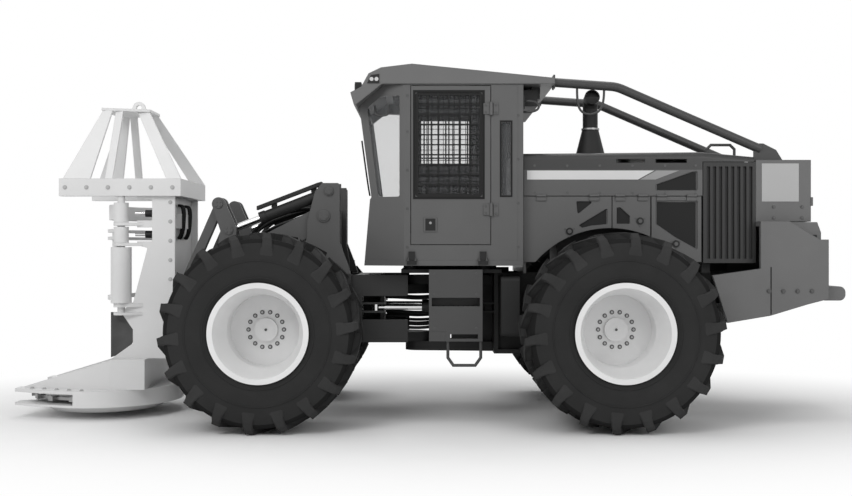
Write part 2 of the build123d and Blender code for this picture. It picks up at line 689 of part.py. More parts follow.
with BuildPart() as cab_shell:
    level_plate(CAB_PLAN, (CAB_BOTTOM, ROOF_LINE))
    with BuildSketch(Plane.XZ.offset(-CAB_HALF)) as side_view:
        with BuildLine():
            Polyline(*CAB_SIDE, close=True)
        make_face()
    extrude(side_view.sketch, amount=2 * CAB_HALF, mode=Mode.INTERSECT)
    add(cab_inside.part, mode=Mode.SUBTRACT)
    side_plate(DOOR_OPENING, (CAB_HALF / 2, CAB_HALF + 1), Mode.SUBTRACT)
    for outline, sides in SIDE_WINDOWS:
        for side in sides:
            side_plate(outline, (side * 400, side * (CAB_HALF + 1)), Mode.SUBTRACT, corner=18)
    front_cut = (GLASS_FOOT[0] - 125, CAB_FRONT + 1)
    box(front_cut, (-FRONT_WINDOW_HALF, FRONT_WINDOW_HALF), FRONT_WINDOW_Z, Mode.SUBTRACT)
    rear_cut = (CAB_REAR - 1, CAB_REAR + CAB_WALL + 1)
    box(rear_cut, (-REAR_WINDOW_HALF, REAR_WINDOW_HALF), REAR_WINDOW_Z, Mode.SUBTRACT)

FLOOR_TOP = CAB_BOTTOM + CAB_WALL
CAB_IN_REAR = CAB_REAR + CAB_WALL
FRONT_WALL_HALF = 560
# panel, limits along x, y and z
CAB_PANELS = [
    ("cab_floor", (CAB_REAR, CAB_FRONT), (-CAB_HALF, CAB_HALF), (CAB_BOTTOM, FLOOR_TOP)),
    ("cab_rear_wall", (CAB_REAR, CAB_IN_REAR), (-CAB_HALF, CAB_HALF), (FLOOR_TOP, ROOF_LINE)),
    ("cab_front_wall", (CAB_IN_REAR, CAB_FRONT), (-FRONT_WALL_HALF, FRONT_WALL_HALF), (FLOOR_TOP, ROOF_LINE)),
    ("cab_left_wall", (CAB_IN_REAR, CAB_FRONT), (FRONT_WALL_HALF, CAB_HALF), (FLOOR_TOP, ROOF_LINE)),
    ("cab_right_wall", (CAB_IN_REAR, CAB_FRONT), (-CAB_HALF, -FRONT_WALL_HALF), (FLOOR_TOP, ROOF_LINE)),
]
for name, x_span, y_span, z_span in CAB_PANELS:
    with BuildPart() as cab_panel:
        add(cab_shell.part)
        box(x_span, y_span, z_span, Mode.INTERSECT)
    save(cab_panel, name)

# Cab windows: flat panes that fill their openings, half a wall back from the outside
PANE = CAB_WALL / 2
PANE_IN = PANE + GLASS
with BuildPart() as cab_glass:
    for outline, sides in ((REAR_SIDE_WINDOW, SIDES), (RIGHT_WINDOW, (-1,))):
        for side in sides:
            outer_y = max(side * (CAB_HALF - PANE), side * (CAB_HALF - PANE_IN))
            with BuildSketch(Plane.XZ.offset(-outer_y)) as pane:
                with BuildLine():
                    Polyline(*outline, close=True)
                make_face()
                fillet(pane.vertices(), 18)
                offset(amount=-SEAT_GAP, mode=Mode.REPLACE)
            extrude(pane.sketch, amount=GLASS)
    pane_rear = CAB_REAR + PANE
    pane_half = REAR_WINDOW_HALF - SEAT_GAP
    pane_z = (REAR_WINDOW_Z[0] + SEAT_GAP, REAR_WINDOW_Z[1] - SEAT_GAP)
    box((pane_rear, pane_rear + GLASS), (-pane_half, pane_half), pane_z)
    lean = (VISOR_FOOT[0] - GLASS_FOOT[0]) / (VISOR_FOOT[1] - GLASS_FOOT[1])
    low_x = GLASS_FOOT[0] - PANE + (FRONT_WINDOW_Z[0] - GLASS_FOOT[1]) * lean
    high_x = GLASS_FOOT[0] - PANE + (FRONT_WINDOW_Z[1] - GLASS_FOOT[1]) * lean
    side_plate(
        [
            (low_x, FRONT_WINDOW_Z[0] + SEAT_GAP),
            (low_x - GLASS, FRONT_WINDOW_Z[0] + SEAT_GAP),
            (high_x - GLASS, FRONT_WINDOW_Z[1] - SEAT_GAP),
            (high_x, FRONT_WINDOW_Z[1] - SEAT_GAP),
        ],
        (SEAT_GAP - FRONT_WINDOW_HALF, FRONT_WINDOW_HALF - SEAT_GAP),
    )
    for side in SIDES:
        taper = (CAB_HALF - CAB_FRONT_HALF) / (CAB_FRONT - CAB_TAPER_X)
        pane_x = (QUARTER_WINDOW[0][0], QUARTER_WINDOW[2][0])
        pane_y = [CAB_HALF - PANE - 2 - taper * (x - CAB_TAPER_X) for x in pane_x]
        with BuildSketch(Plane.XZ.offset(-max(0, side * CAB_HALF))) as pane:
            with BuildLine():
                Polyline(*QUARTER_WINDOW, close=True)
            make_face()
            fillet(pane.vertices(), 18)
            offset(amount=-SEAT_GAP, mode=Mode.REPLACE)
        with BuildSketch(Plane.XY.offset(QUARTER_WINDOW[0][1])) as strip:
            with BuildLine():
                Polyline(
                    (pane_x[0], side * pane_y[0]),
                    (pane_x[1], side * pane_y[1]),
                    (pane_x[1], side * (pane_y[1] - GLASS)),
                    (pane_x[0], side * (pane_y[0] - GLASS)),
                    close=True,
                )
            make_face()
        sheet = extrude(strip.sketch, amount=CAB_HEIGHT, mode=Mode.PRIVATE)
        cutter = extrude(pane.sketch, amount=CAB_HALF, mode=Mode.PRIVATE)
        add(sheet & cutter)
save(cab_glass, "cab_glass")

# Cab roof: sloped tray with a front visor, open below over the cab
ROOF_SIDE = [
    (ROOF_REAR, ROOF_LINE),
    (ROOF_REAR, 3140),
    (128, 3269),
    (410, 3235),
    (523, 3181),
    (589, 3060),
    (689, 3008),
    (656, 2894),
    VISOR_FOOT,
    (400, ROOF_LINE),
]
with BuildPart() as cab_roof:
    side_plate(ROOF_SIDE, (-ROOF_HALF, ROOF_HALF))
    tray_half = ROOF_HALF - 60
    box((CAB_IN_REAR, 330), (-tray_half, tray_half), (ROOF_LINE, ROOF_LINE + 60), Mode.SUBTRACT)
save(cab_roof, "cab_roof")

# Cab mounts: rubber drums between the deck and the cab floor
with BuildPart() as cab_mounts:
    for mount_x in (150, -540):
        for side in SIDES:
            centre = (mount_x, side * (DECK_HALF - 80))
            rod((*centre, DECK_TOP), (*centre, CAB_BOTTOM), 58)
save(cab_mounts, "cab_mounts")

# Operator seat and side consoles
with BuildPart() as operator_seat:
    box((-420, -80), (-150, 150), (CAB_BOTTOM + CAB_WALL, 1800))
    box((-500, 20), (-250, 250), (1800, 1930))
    side_plate([(-500, 1930), (-380, 1930), (-480, 2620), (-590, 2620)], (-240, 240))
    for side in SIDES:
        box((-300, 60), (side * 280, side * 390), (CAB_BOTTOM + CAB_WALL, 2080))
        rod((10, side * 335, 2080), (20, side * 335, 2210), 24)
save(operator_seat, "operator_seat")

# Cab door: one leaf as thick as the wall, hinged at its rear edge, with glass and a bar grille
DOOR_SPAN = (CAB_HALF - CAB_WALL, CAB_HALF)
HINGE_RADIUS = 16
HINGE_X = DOOR_REAR
HINGE_Y = CAB_HALF + HINGE_RADIUS
with BuildPart() as cab_door:
    side_plate(
        [
            (DOOR_FRONT - DOOR_GAP, DOOR_LOW + DOOR_GAP),
            (DOOR_FRONT - DOOR_GAP, DOOR_HIGH - DOOR_GAP),
            (DOOR_REAR + DOOR_GAP, DOOR_HIGH - DOOR_GAP),
            (DOOR_REAR + DOOR_GAP, DOOR_LOW + DOOR_GAP),
        ],
        DOOR_SPAN,
    )
    side_plate(DOOR_WINDOW, (CAB_HALF / 2, CAB_HALF + 1), Mode.SUBTRACT, corner=25)
    for hinge_z in (1940, 2860):
        rod((HINGE_X, HINGE_Y, hinge_z - 60), (HINGE_X, HINGE_Y, hinge_z + 60), HINGE_RADIUS - PIN_GAP)
        box((HINGE_X, HINGE_X + 70), (CAB_HALF - 1, CAB_HALF + 12), (hinge_z - 50, hinge_z + 50))
    box((-100, 20), (CAB_HALF - 1, CAB_HALF + 10), (1740, 1870))
save(cab_door, "cab_door")

with BuildPart() as door_glass:
    with BuildSketch(Plane.XZ.offset(-(CAB_HALF - PANE))) as pane:
        with BuildLine():
            Polyline(*DOOR_WINDOW, close=True)
        make_face()
        fillet(pane.vertices(), 25)
        offset(amount=-SEAT_GAP, mode=Mode.REPLACE)
    extrude(pane.sketch, amount=GLASS)
save(door_glass, "door_glass")

GRILLE_BARS = 6
GRILLE_ROWS = 10
with BuildPart() as door_grille:
    low_x, high_x = DOOR_WINDOW[2][0] + SEAT_GAP, DOOR_WINDOW[0][0] - SEAT_GAP
    low_z, high_z = DOOR_WINDOW[0][1] + SEAT_GAP, DOOR_WINDOW[1][1] - SEAT_GAP
    with BuildSketch(Plane.XZ.offset(-(CAB_HALF - 4))) as mesh:
        with Locations(((low_x + high_x) / 2, (low_z + high_z) / 2)):
            RectangleRounded(high_x - low_x, high_z - low_z, 24)
            cell_x = (high_x - low_x - 40) / GRILLE_BARS
            cell_z = (high_z - low_z - 40) / GRILLE_ROWS
            with GridLocations(cell_x, cell_z, GRILLE_BARS, GRILLE_ROWS):
                Rectangle(cell_x - 12, cell_z - 12, mode=Mode.SUBTRACT)
    extrude(mesh.sketch, amount=10)
save(door_grille, "door_grille")

# Guards over the right side window and the rear window
with BuildPart() as cab_guards:
    low_x, high_x = RIGHT_WINDOW[2][0], RIGHT_WINDOW[0][0]
    for bar in range(1, 8):
        bar_x = low_x + (high_x - low_x) * bar / 8
        box((bar_x - 8, bar_x + 8), (-CAB_HALF - 12, -CAB_HALF), (2030, 3030))
    for bar_z in (2030, 2530, 3014):
        box((low_x, high_x), (-CAB_HALF - 12, -CAB_HALF), (bar_z, bar_z + 16))
    rear_half = REAR_WINDOW_HALF - SEAT_GAP
    rear_low, rear_high = REAR_WINDOW_Z[0] + SEAT_GAP, REAR_WINDOW_Z[1] - SEAT_GAP
    for bar in range(-3, 4):
        bar_y = bar * 150
        box((CAB_REAR, CAB_REAR + 12), (bar_y - 8, bar_y + 8), (rear_low, rear_high))
    for bar_z in (rear_low, rear_high - 16):
        box((CAB_REAR, CAB_REAR + 12), (-rear_half, rear_half), (bar_z, bar_z + 16))
save(cab_guards, "cab_guards")

# Step ladder below the door, hung from the deck, with a cable step
LADDER_FRONT = -27
LADDER_REAR = -515
LADDER_IN = DECK_HALF + SEAT_GAP
with BuildPart() as step_ladder:
    for edge in (LADDER_FRONT, LADDER_REAR + 25):
        box((edge - 25, edge), (LADDER_IN, CAB_HALF), (831, DECK_TOP))
    box((LADDER_REAR, LADDER_FRONT), (CAB_HALF - 25, CAB_HALF), (1139, DECK_TOP))
    box((LADDER_REAR, LADDER_FRONT), (CAB_HALF - 25, CAB_HALF), (831, 1032))
    box((LADDER_REAR, LADDER_FRONT), (LADDER_IN, CAB_HALF), (1032, 1060))
    box((LADDER_REAR, LADDER_FRONT - 154), (LADDER_IN + 60, CAB_HALF), (740, 831))
    box((LADDER_REAR + 40, LADDER_FRONT - 194), (LADDER_IN + 59, CAB_HALF + 1), (765, 806), Mode.SUBTRACT)
    cable_y = CAB_HALF - 30
    mitred_tube(
        [
            (-200, cable_y, 760),
            (-200, cable_y, 590),
            (-250, cable_y, 520),
            (-450, cable_y, 520),
            (-500, cable_y, 590),
            (-500, cable_y, 760),
        ],
        14,
    )
save(step_ladder, "step_ladder")

# Tanks beside the frame: a narrow one behind the steps, a long one on the right
with BuildPart() as side_tanks:
    box((-860, -690), (RAIL_OUT + SEAT_GAP, 700), (780, 1330))
    box((-860, -60), (-720, -DECK_HALF - SEAT_GAP), (820, DECK_TOP))
    fillet(side_tanks.edges().filter_by(Axis.X), 40)
save(side_tanks, "side_tanks")

# Engine, one plain block, with the radiator behind it
with BuildPart() as engine:
    box((-2400, -1250), (-300, 300), (ENGINE_LOW, 2050))
    box((-2640, -2560), (-560, 560), (FRAME_TOP, 2380))
save(engine, "engine")

# Hood: folded cover with rounded shoulders, slots, a front bulkhead and door posts
HOOD_RISE = 15
HOOD_DROP = 45
HOOD_LINE = [
    (HOOD_FRONT, HOOD_TOP),
    (HOOD_BREAK, HOOD_TOP + HOOD_RISE),
    (HOOD_REAR, HOOD_TOP + HOOD_RISE - HOOD_DROP),
]
HOOD_WINDOW = [(-2112, 2120), (-2112, 2175), (-2460, 2298), (-2498, 2298), (-2498, 2120)]
ARCH_RADIUS = TYRE_RADIUS + ARCH_GAP
with BuildPart() as hood:
    side_plate([*HOOD_LINE, (HOOD_REAR, HOOD_SEAM), (HOOD_FRONT, HOOD_SEAM)], (-HOOD_HALF, HOOD_HALF))
    upper = [e for e in hood.edges() if e.center().Z > HOOD_SEAM + 200]
    outer = [e for e in upper if abs(abs(e.center().Y) - HOOD_HALF) < 1]
    fillet([e for e in outer if abs(e.tangent_at(0).X) > 0.9], 60)
    inner = [(x, z - HOOD_WALL) for x, z in HOOD_LINE]
    side_plate(
        [*inner, (HOOD_REAR, HOOD_SEAM - 1), (HOOD_FRONT, HOOD_SEAM - 1)],
        (HOOD_WALL - HOOD_HALF, HOOD_HALF - HOOD_WALL),
        Mode.SUBTRACT,
    )
    across = (-HOOD_HALF - 1, HOOD_HALF + 1)
    box((HOOD_REAR - 1, HOOD_BREAK - 5), across, (HOOD_SEAM - 1, GRILLE_TOP + 4), Mode.SUBTRACT)
    for slot in ((-2013, -1751), (-2400, -2113)):
        box(slot, across, (HOOD_TOP - 88, HOOD_TOP - 54), Mode.SUBTRACT)
    for side in SIDES:
        recess = (side * (HOOD_HALF - 14), side * (HOOD_HALF + 1))
        side_plate(HOOD_WINDOW, recess, Mode.SUBTRACT, corner=12)
    box((HOOD_FRONT - HOOD_WALL, HOOD_FRONT), (-HOOD_HALF + 40, HOOD_HALF - 40), (FRAME_TOP, HOOD_TOP - 5))
    for side in SIDES:
        for post_x in (-1710, -2070, -2530):
            post = (post_x - 14, post_x + 14)
            post_face = HOOD_HALF - DOOR_SKIN - RUNNING_GAP
            box(post, (side * (post_face - 28), side * post_face), (1800, HOOD_SEAM + 60))
            box(post, (side * (post_face - 28), side * (HOOD_HALF - 1)), (HOOD_SEAM + 20, HOOD_SEAM + 60))
save(hood, "hood")

# Engine doors: top-hinged leaves over the wheel arch, with recessed mesh windows
FRONT_WINDOWS = [
    [(-1383, 2022), (-1544, 2022), (-1395, 1900)],
    [(-1670, 1960), (-1670, 1812), (-1520, 1797), (-1432, 1776), (-1402, 1800)],
]
MIDDLE_WINDOW = [(-1755, 1965), (-1790, 1965), (-1877, 1885), (-1877, 1812), (-1755, 1812)]
REAR_WINDOW = [(-2112, 2029), (-2498, 2029), (-2498, 1570), (-2291, 1685), (-2112, 1810)]
# name, front edge, rear edge, window outlines
ENGINE_DOORS = [
    ("front", -898, -1708, FRONT_WINDOWS),
    ("middle", -1716, -2064, [MIDDLE_WINDOW]),
    ("rear", -2075, -2534, [REAR_WINDOW]),
]
ENGINE_DOOR_LOW = 1463
ENGINE_HINGE_RADIUS = 12
ENGINE_HINGE_Y = HOOD_HALF + ENGINE_HINGE_RADIUS + PIN_GAP
for side, side_name in ((1, "left"), (-1, "right")):
    for leaf, front, rear, windows in ENGINE_DOORS:
        with BuildPart() as engine_door:
            skin = (side * (HOOD_HALF - DOOR_SKIN), side * HOOD_HALF)
            top = HOOD_SEAM - DOOR_GAP
            side_plate([(front, ENGINE_DOOR_LOW), (front, top), (rear, top), (rear, ENGINE_DOOR_LOW)], skin)
            cross_pin((REAR_AXLE_X, AXLE_Z), skin, ARCH_RADIUS, Mode.SUBTRACT)
            recess = (side * (HOOD_HALF - 14), side * (HOOD_HALF + 1))
            for window in windows:
                side_plate(window, recess, Mode.SUBTRACT, corner=12)
            for share in (0.2, 0.8):
                knuckle = front + (rear - front) * share
                axis_y = side * ENGINE_HINGE_Y
                rod((knuckle - 45, axis_y, HOOD_SEAM), (knuckle + 45, axis_y, HOOD_SEAM), ENGINE_HINGE_RADIUS)
                strap = (side * (HOOD_HALF - 1), axis_y)
                box((knuckle - 45, knuckle + 45), strap, (top - 40, HOOD_SEAM - 1))
        save(engine_door, f"engine_door_{side_name}_{leaf}")

# Radiator side grilles: a frame with upright bars
GRILLE_FRONT = HOOD_BREAK - 11
GRILLE_SLOTS = 8
with BuildPart() as radiator_grilles:
    for side in SIDES:
        span = (side * (HOOD_HALF - 40), side * HOOD_HALF)
        box((GRILLE_REAR, GRILLE_FRONT), span, (GRILLE_LOW, GRILLE_TOP))
        slot_pitch = (GRILLE_FRONT - GRILLE_REAR - 40) / GRILLE_SLOTS
        for slot in range(GRILLE_SLOTS):
            slot_x = GRILLE_REAR + 20 + slot_pitch * (slot + 0.5)
            cut = (slot_x - slot_pitch / 2 + 12, slot_x + slot_pitch / 2 - 12)
            recess = (side * (HOOD_HALF - 28), side * (HOOD_HALF + 1))
            box(cut, recess, (GRILLE_LOW + 40, GRILLE_TOP - 40), Mode.SUBTRACT)
save(radiator_grilles, "radiator_grilles")

# Rear housing behind the radiator: walls, top and a barred rear opening
with BuildPart() as rear_housing:
    box((HOUSING_REAR, GRILLE_REAR), (-HOOD_HALF, HOOD_HALF), (HOUSING_LOW, HOUSING_TOP))
    box(
        (HOUSING_REAR - 1, GRILLE_REAR + 1),
        (40 - HOOD_HALF, HOOD_HALF - 40),
        (HOUSING_LOW + 40, HOUSING_TOP - 40),
        Mode.SUBTRACT,
    )
    for row in range(9):
        bar_z = HOUSING_LOW + 70 + row * 52
        box((HOUSING_REAR, HOUSING_REAR + 30), (40 - HOOD_HALF, HOOD_HALF - 40), (bar_z, bar_z + 16))
    box((HOUSING_REAR, HOUSING_REAR + 30), (-20, 20), (HOUSING_LOW + 40, HOUSING_TOP - 40))
save(rear_housing, "rear_housing")

# Rear bumper: a folded plate with a sloped lid and a lid box, side plates and the push bar
BUMPER_FOOT = 1129
BUMPER_OUTLINE = [
    (GRILLE_REAR, HOUSING_LOW),
    (GRILLE_REAR - 264, HOUSING_LOW),
    (BUMPER_REAR + 81, BUMPER_LID),
    (BUMPER_REAR, BUMPER_LID),
    (BUMPER_REAR, BUMPER_FOOT),
    (BUMPER_REAR + 193, BUMPER_FOOT - 50),
    (GRILLE_REAR - 89, BUMPER_FOOT - 152),
    (GRILLE_REAR + 298, BUMPER_FOOT - 217),
]
BUMPER_INSIDE = [
    (GRILLE_REAR + 1, HOUSING_LOW - BUMPER_PLATE),
    (GRILLE_REAR - 254, HOUSING_LOW - BUMPER_PLATE),
    (BUMPER_REAR + 94, BUMPER_LID - BUMPER_PLATE),
    (BUMPER_REAR + BUMPER_PLATE, BUMPER_LID - BUMPER_PLATE),
    (BUMPER_REAR + BUMPER_PLATE, BUMPER_FOOT + BUMPER_PLATE),
    (BUMPER_REAR + 193, BUMPER_FOOT - 50 + BUMPER_PLATE),
    (GRILLE_REAR - 89, BUMPER_FOOT - 152 + BUMPER_PLATE),
    (GRILLE_REAR + 436, BUMPER_FOOT - 239 + BUMPER_PLATE),
]
BUMPER_MOUTH = [(GRILLE_REAR + 436, BUMPER_FOOT + 214), (GRILLE_REAR, BUMPER_FOOT + 275)]
PUSH_BAR_LOW = 1110
PUSH_BAR_TOP = 1240
BUMPER_IN = BUMPER_HALF - BUMPER_PLATE
with BuildPart() as rear_bumper:
    side_plate([*BUMPER_OUTLINE, *BUMPER_MOUTH], (-BUMPER_IN, BUMPER_IN))
    side_plate([*BUMPER_INSIDE, BUMPER_MOUTH[0]], (-BUMPER_HALF, BUMPER_HALF), Mode.SUBTRACT)
    side_plate(
        [
            (GRILLE_REAR - 270, HOUSING_LOW - RUNNING_GAP),
            (BUMPER_REAR + 78, HOUSING_LOW - RUNNING_GAP),
            (BUMPER_REAR + 43, BUMPER_LID + 65),
            (BUMPER_REAR + 43, BUMPER_LID - RUNNING_GAP),
            (BUMPER_REAR + 81, BUMPER_LID - RUNNING_GAP),
        ],
        (BUMPER_IN - 450, BUMPER_IN - 30),
    )
save(rear_bumper, "rear_bumper")

with BuildPart() as push_bar:
    box((TAIL_X, BUMPER_REAR - SEAT_GAP), (-700, 700), (PUSH_BAR_LOW, PUSH_BAR_TOP))
    fillet(push_bar.edges().filter_by(Axis.Y).sort_by(Axis.X)[:2], 55)
    tow_x = TAIL_X + PUSH_BAR_DEPTH / 2
    rod((tow_x, 0, PUSH_BAR_LOW), (tow_x, 0, PUSH_BAR_TOP), TOW_PIN_RADIUS, Mode.SUBTRACT)
save(push_bar, "push_bar")

with BuildPart() as bumper_sides:
    for side in SIDES:
        side_plate([*BUMPER_OUTLINE, *BUMPER_MOUTH], (side * BUMPER_IN, side * BUMPER_HALF))
save(bumper_sides, "bumper_sides")

# Guard tubes over the hood, from the roof to gussets on the rear housing, and low handrails
RAIL_TOP = 2553
TUBE_FRONT_Z = 3126
TUBE_BEND = (-1767, 3085)
TUBE_FOOT = (GRILLE_REAR - 61, HOUSING_TOP + 105)
with BuildPart() as guard_tubes:
    for side in SIDES:
        tube_y = side * TUBE_Y
        bent_tube(
            [
                (ROOF_REAR - 12, tube_y, TUBE_FRONT_Z),
                (TUBE_BEND[0], tube_y, TUBE_BEND[1]),
                (TUBE_FOOT[0], tube_y, TUBE_FOOT[1]),
            ],
            320,
            TUBE_RADIUS,
        )
        flange = (TUBE_FRONT_Z - 62, TUBE_FRONT_Z + 62)
        box((ROOF_REAR - 16, ROOF_REAR - SEAT_GAP), (tube_y - 62, tube_y + 62), flange)
        side_plate(
            [
                (GRILLE_REAR, HOUSING_TOP),
                (GRILLE_REAR - 264, HOUSING_TOP),
                (GRILLE_REAR - 204, HOUSING_TOP + 97),
                (GRILLE_REAR - 84, HOUSING_TOP + 157),
                (GRILLE_REAR, HOUSING_TOP + 157),
            ],
            (tube_y - 15, tube_y + 15),
        )
        rail_y = side * (TUBE_Y - 70)
        rail_front, rail_rear = HOOD_BREAK - 78, HOOD_BREAK - 337
        fall = HOOD_DROP / HOOD_TAIL
        mitred_tube(
            [
                (rail_front, rail_y, HOOD_TOP + HOOD_RISE - 65 * fall + SEAT_GAP),
                (rail_front, rail_y, RAIL_TOP - 40),
                (rail_front - 40, rail_y, RAIL_TOP),
                (rail_rear + 40, rail_y, RAIL_TOP),
                (rail_rear, rail_y, RAIL_TOP - 40),
                (rail_rear, rail_y, HOOD_TOP + HOOD_RISE - 324 * fall + SEAT_GAP),
            ],
            13,
        )
save(guard_tubes, "guard_tubes")

# Exhaust stack: cone foot, pipe and an elbow that opens to the left
STACK_X = -1582
STACK_Y = 200
STACK_RADIUS = 72
STACK_CONE = 160
STACK_TOP = 3030
STACK_FOOT = HOOD_TOP + HOOD_RISE * (HOOD_FRONT - STACK_X) / (HOOD_FRONT - HOOD_BREAK)
with BuildPart() as exhaust_stack:
    with Locations((STACK_X, STACK_Y, STACK_FOOT + STACK_CONE / 2 + 1.5)):
        Cone(STACK_RADIUS + 55, STACK_RADIUS - 14, STACK_CONE)
    ring_z = STACK_FOOT + STACK_CONE
    rod((STACK_X, STACK_Y, ring_z), (STACK_X, STACK_Y, ring_z + 22), STACK_RADIUS + 10)
    mitred_tube(
        [
            (STACK_X, STACK_Y, STACK_FOOT + STACK_CONE - 20),
            (STACK_X, STACK_Y, STACK_TOP - 85),
            (STACK_X, STACK_Y + 40, STACK_TOP - 20),
            (STACK_X, STACK_Y + 130, STACK_TOP),
        ],
        STACK_RADIUS,
    )
    mouth = (STACK_X, STACK_Y + 130, STACK_TOP)
    rod(mouth, (STACK_X, STACK_Y + 80, STACK_TOP - 11), STACK_RADIUS - 8, Mode.SUBTRACT)
save(exhaust_stack, "exhaust_stack")

# Work lamps under the visor and behind the roof
with BuildPart() as work_lamps:
    for lamp_y in (-520, -260, 260, 520):
        box((600, 660), (lamp_y - 70, lamp_y + 70), (3055, 3130))
    for side in SIDES:
        box((-1060, -980), (side * 420, side * 560), (ROOF_LINE - 110, ROOF_LINE))
save(work_lamps, "work_lamps")

# Head frame: side walls that carry the pins, back plate, shelves and the arm pin
WALL_OUTLINE = [
    (HEAD_REAR, HEAD_TOP),
    (HEAD_REAR, HEAD_FOOT),
    (2938, HEAD_FOOT),
    (2740, 701),
    (2740, 831),
    (2853, 995),
    (2739, 1080),
    (2604, 1592),
    (2700, 1620),
    (2700, HEAD_TOP),
]
# shelves: bottom, top, front edge
SHELVES = [(1800, 1830, 2700), (1610, 1640, 2690), (1040, 1078, 2740), (966, 990, 2790)]
THROAT_RADIUS = 330
with BuildPart() as head_frame:
    for side in SIDES:
        for span in ((CLEVIS_OUT, OUTER_FACE), (INNER_FACE, CLEVIS_IN)):
            faces = [side * y for y in span]
            edge = HEAD_BACK + PLATE / 2
            bar_plate([(*HEAD_PIN, 90), (*LINK_FOOT, 85), (edge, 640, 15), (edge, 1240, 15)], faces)
        side_plate(WALL_OUTLINE, (side * CLEVIS_OUT, side * OUTER_FACE))
        for low, high in ((1850, 2045), (1655, 1785)):
            window = [(2560, low), (2705, low), (2705, high), (2560, high)]
            side_plate(window, (side * (CLEVIS_OUT - 1), side * (OUTER_FACE + 1)), Mode.SUBTRACT)
    box((HEAD_BACK, HEAD_BACK + PLATE), (-CLEVIS_OUT, CLEVIS_OUT), (HEAD_FOOT, HEAD_TOP))
    for low, high, front in SHELVES:
        box((HEAD_BACK, front), (-CLEVIS_OUT, CLEVIS_OUT), (low, high))
        throat = (2900, 0)
        rod((*throat, low), (*throat, high), THROAT_RADIUS + 60, Mode.SUBTRACT)
        with BuildSketch(Plane.XY.offset(low)) as tab:
            with Locations((ARM_PIVOT_X, ARM_PIVOT_Y)):
                Circle(70)
            with Locations((2640, OUTER_FACE - 30), (2640, CLEVIS_OUT - 30)):
                Circle(28)
            make_hull()
        extrude(tab.sketch, amount=high - low)
    rod((ARM_PIVOT_X, ARM_PIVOT_Y, SHELVES[-1][0]), (ARM_PIVOT_X, ARM_PIVOT_Y, HEAD_TOP), ARM_PIN_RADIUS)
save(head_frame, "head_frame")

# Gathering arms: curved across the pocket when closed, on one upright pin
ARM_BACK = 70


def arm_blade(z_span, reach):
    """A curved arm in plan, from the arm pin across the pocket, between two heights."""
    tip_x = ARM_PIVOT_X - 40
    with BuildSketch(Plane.XY.offset(z_span[0])) as blade:
        with BuildLine():
            ThreePointArc((ARM_PIVOT_X, ARM_PIVOT_Y + 60), (reach, 30), (tip_x, -450))
            Line((tip_x, -450), (tip_x - 30, -400))
            ThreePointArc((tip_x - 30, -400), (reach - ARM_BACK, 30), (ARM_PIVOT_X, ARM_PIVOT_Y - 40))
            Line((ARM_PIVOT_X, ARM_PIVOT_Y - 40), (ARM_PIVOT_X, ARM_PIVOT_Y + 60))
        make_face()
    extrude(blade.sketch, amount=z_span[1] - z_span[0])


def arm_hub(z_span, radius):
    """A round hub on the arm pin, between two heights."""
    rod((ARM_PIVOT_X, ARM_PIVOT_Y, z_span[0]), (ARM_PIVOT_X, ARM_PIVOT_Y, z_span[1]), radius)


ARM_BORE = ((ARM_PIVOT_X, ARM_PIVOT_Y, HEAD_FOOT), (ARM_PIVOT_X, ARM_PIVOT_Y, BAND_TOP))
with BuildPart() as accumulator_arm:
    arm_hub((SHELVES[0][1] + SEAT_GAP, 2015), 68)
    arm_blade((1860, 2000), 3060)
    rod(*ARM_BORE, ARM_PIN_RADIUS + PIN_GAP, Mode.SUBTRACT)
save(accumulator_arm, "accumulator_arm")

with BuildPart() as harvest_arm:
    arm_hub((SHELVES[1][1] + SEAT_GAP, 1790), 68)
    arm_hub((SHELVES[2][1] + SEAT_GAP, 1600), 95)
    for z_span in ((1670, 1700), (1740, 1770), (1100, 1140)):
        arm_blade(z_span, 3075)
    brace = (ARM_PIVOT_X + 73, ARM_PIVOT_Y - 105)
    rod((*brace, 1100), (*brace, 1770), 40)
    rod(*ARM_BORE, ARM_PIN_RADIUS + PIN_GAP, Mode.SUBTRACT)
save(harvest_arm, "harvest_arm")

# Top guard: a band open to the front, leaning legs, top plate and lifting eye
BAND_REAR = 2282
BAND_FRONT = 3416
BAND_IN = 430
GUARD_TOP = 2903
# leg: foot span along x, top span along x, top half width
LEGS = [
    ((3128, 3383), (2990, 3080), 290),
    ((2920, 2990), (2900, 2970), 245),
    ((2282, 2420), (2670, 2780), 170),
]
with BuildPart() as head_top_guard:
    box((BAND_REAR, BAND_FRONT), (-BAND_HALF, BAND_HALF), (HEAD_TOP, BAND_TOP))
    box((2520, BAND_FRONT + 1), (-BAND_IN, BAND_IN), (HEAD_TOP, BAND_TOP), Mode.SUBTRACT)
    for foot, top, half in LEGS:
        for side in SIDES:
            with BuildSketch(Plane.XY.offset(BAND_TOP)) as low:
                with Locations((sum(foot) / 2, side * (BAND_HALF - 20))):
                    Rectangle(foot[1] - foot[0], 30)
            with BuildSketch(Plane.XY.offset(GUARD_TOP)) as high:
                with Locations((sum(top) / 2, side * half)):
                    Rectangle(top[1] - top[0], 30)
            loft([low.sketch, high.sketch], ruled=True)
    level_plate([(2660, -190), (3090, -315), (3090, 315), (2660, 190)], (GUARD_TOP, GUARD_TOP + 25))
    eye_z = GUARD_TOP + 62
    with BuildSketch(Plane.XZ.offset(-20)) as lug_plate:
        with Locations((2815, eye_z)):
            Circle(60)
        with Locations((2815, GUARD_TOP + 20)):
            Rectangle(150, 20)
        make_hull()
        with Locations((2815, eye_z)):
            Circle(EYE_HOLE_RADIUS, mode=Mode.SUBTRACT)
    extrude(lug_plate.sketch, amount=40)
save(head_top_guard, "head_top_guard")

# Saw housing: pan, side band, deck with prongs, sloped covers and the pedestal under the head
PRONG = [(SAW_X, HOUSING_RADIUS), (3560, 640), (NOSE_X, 500), (NOSE_X, 360), (3400, 330), (SAW_X, 330)]
MOUTH_X = SAW_X + 230


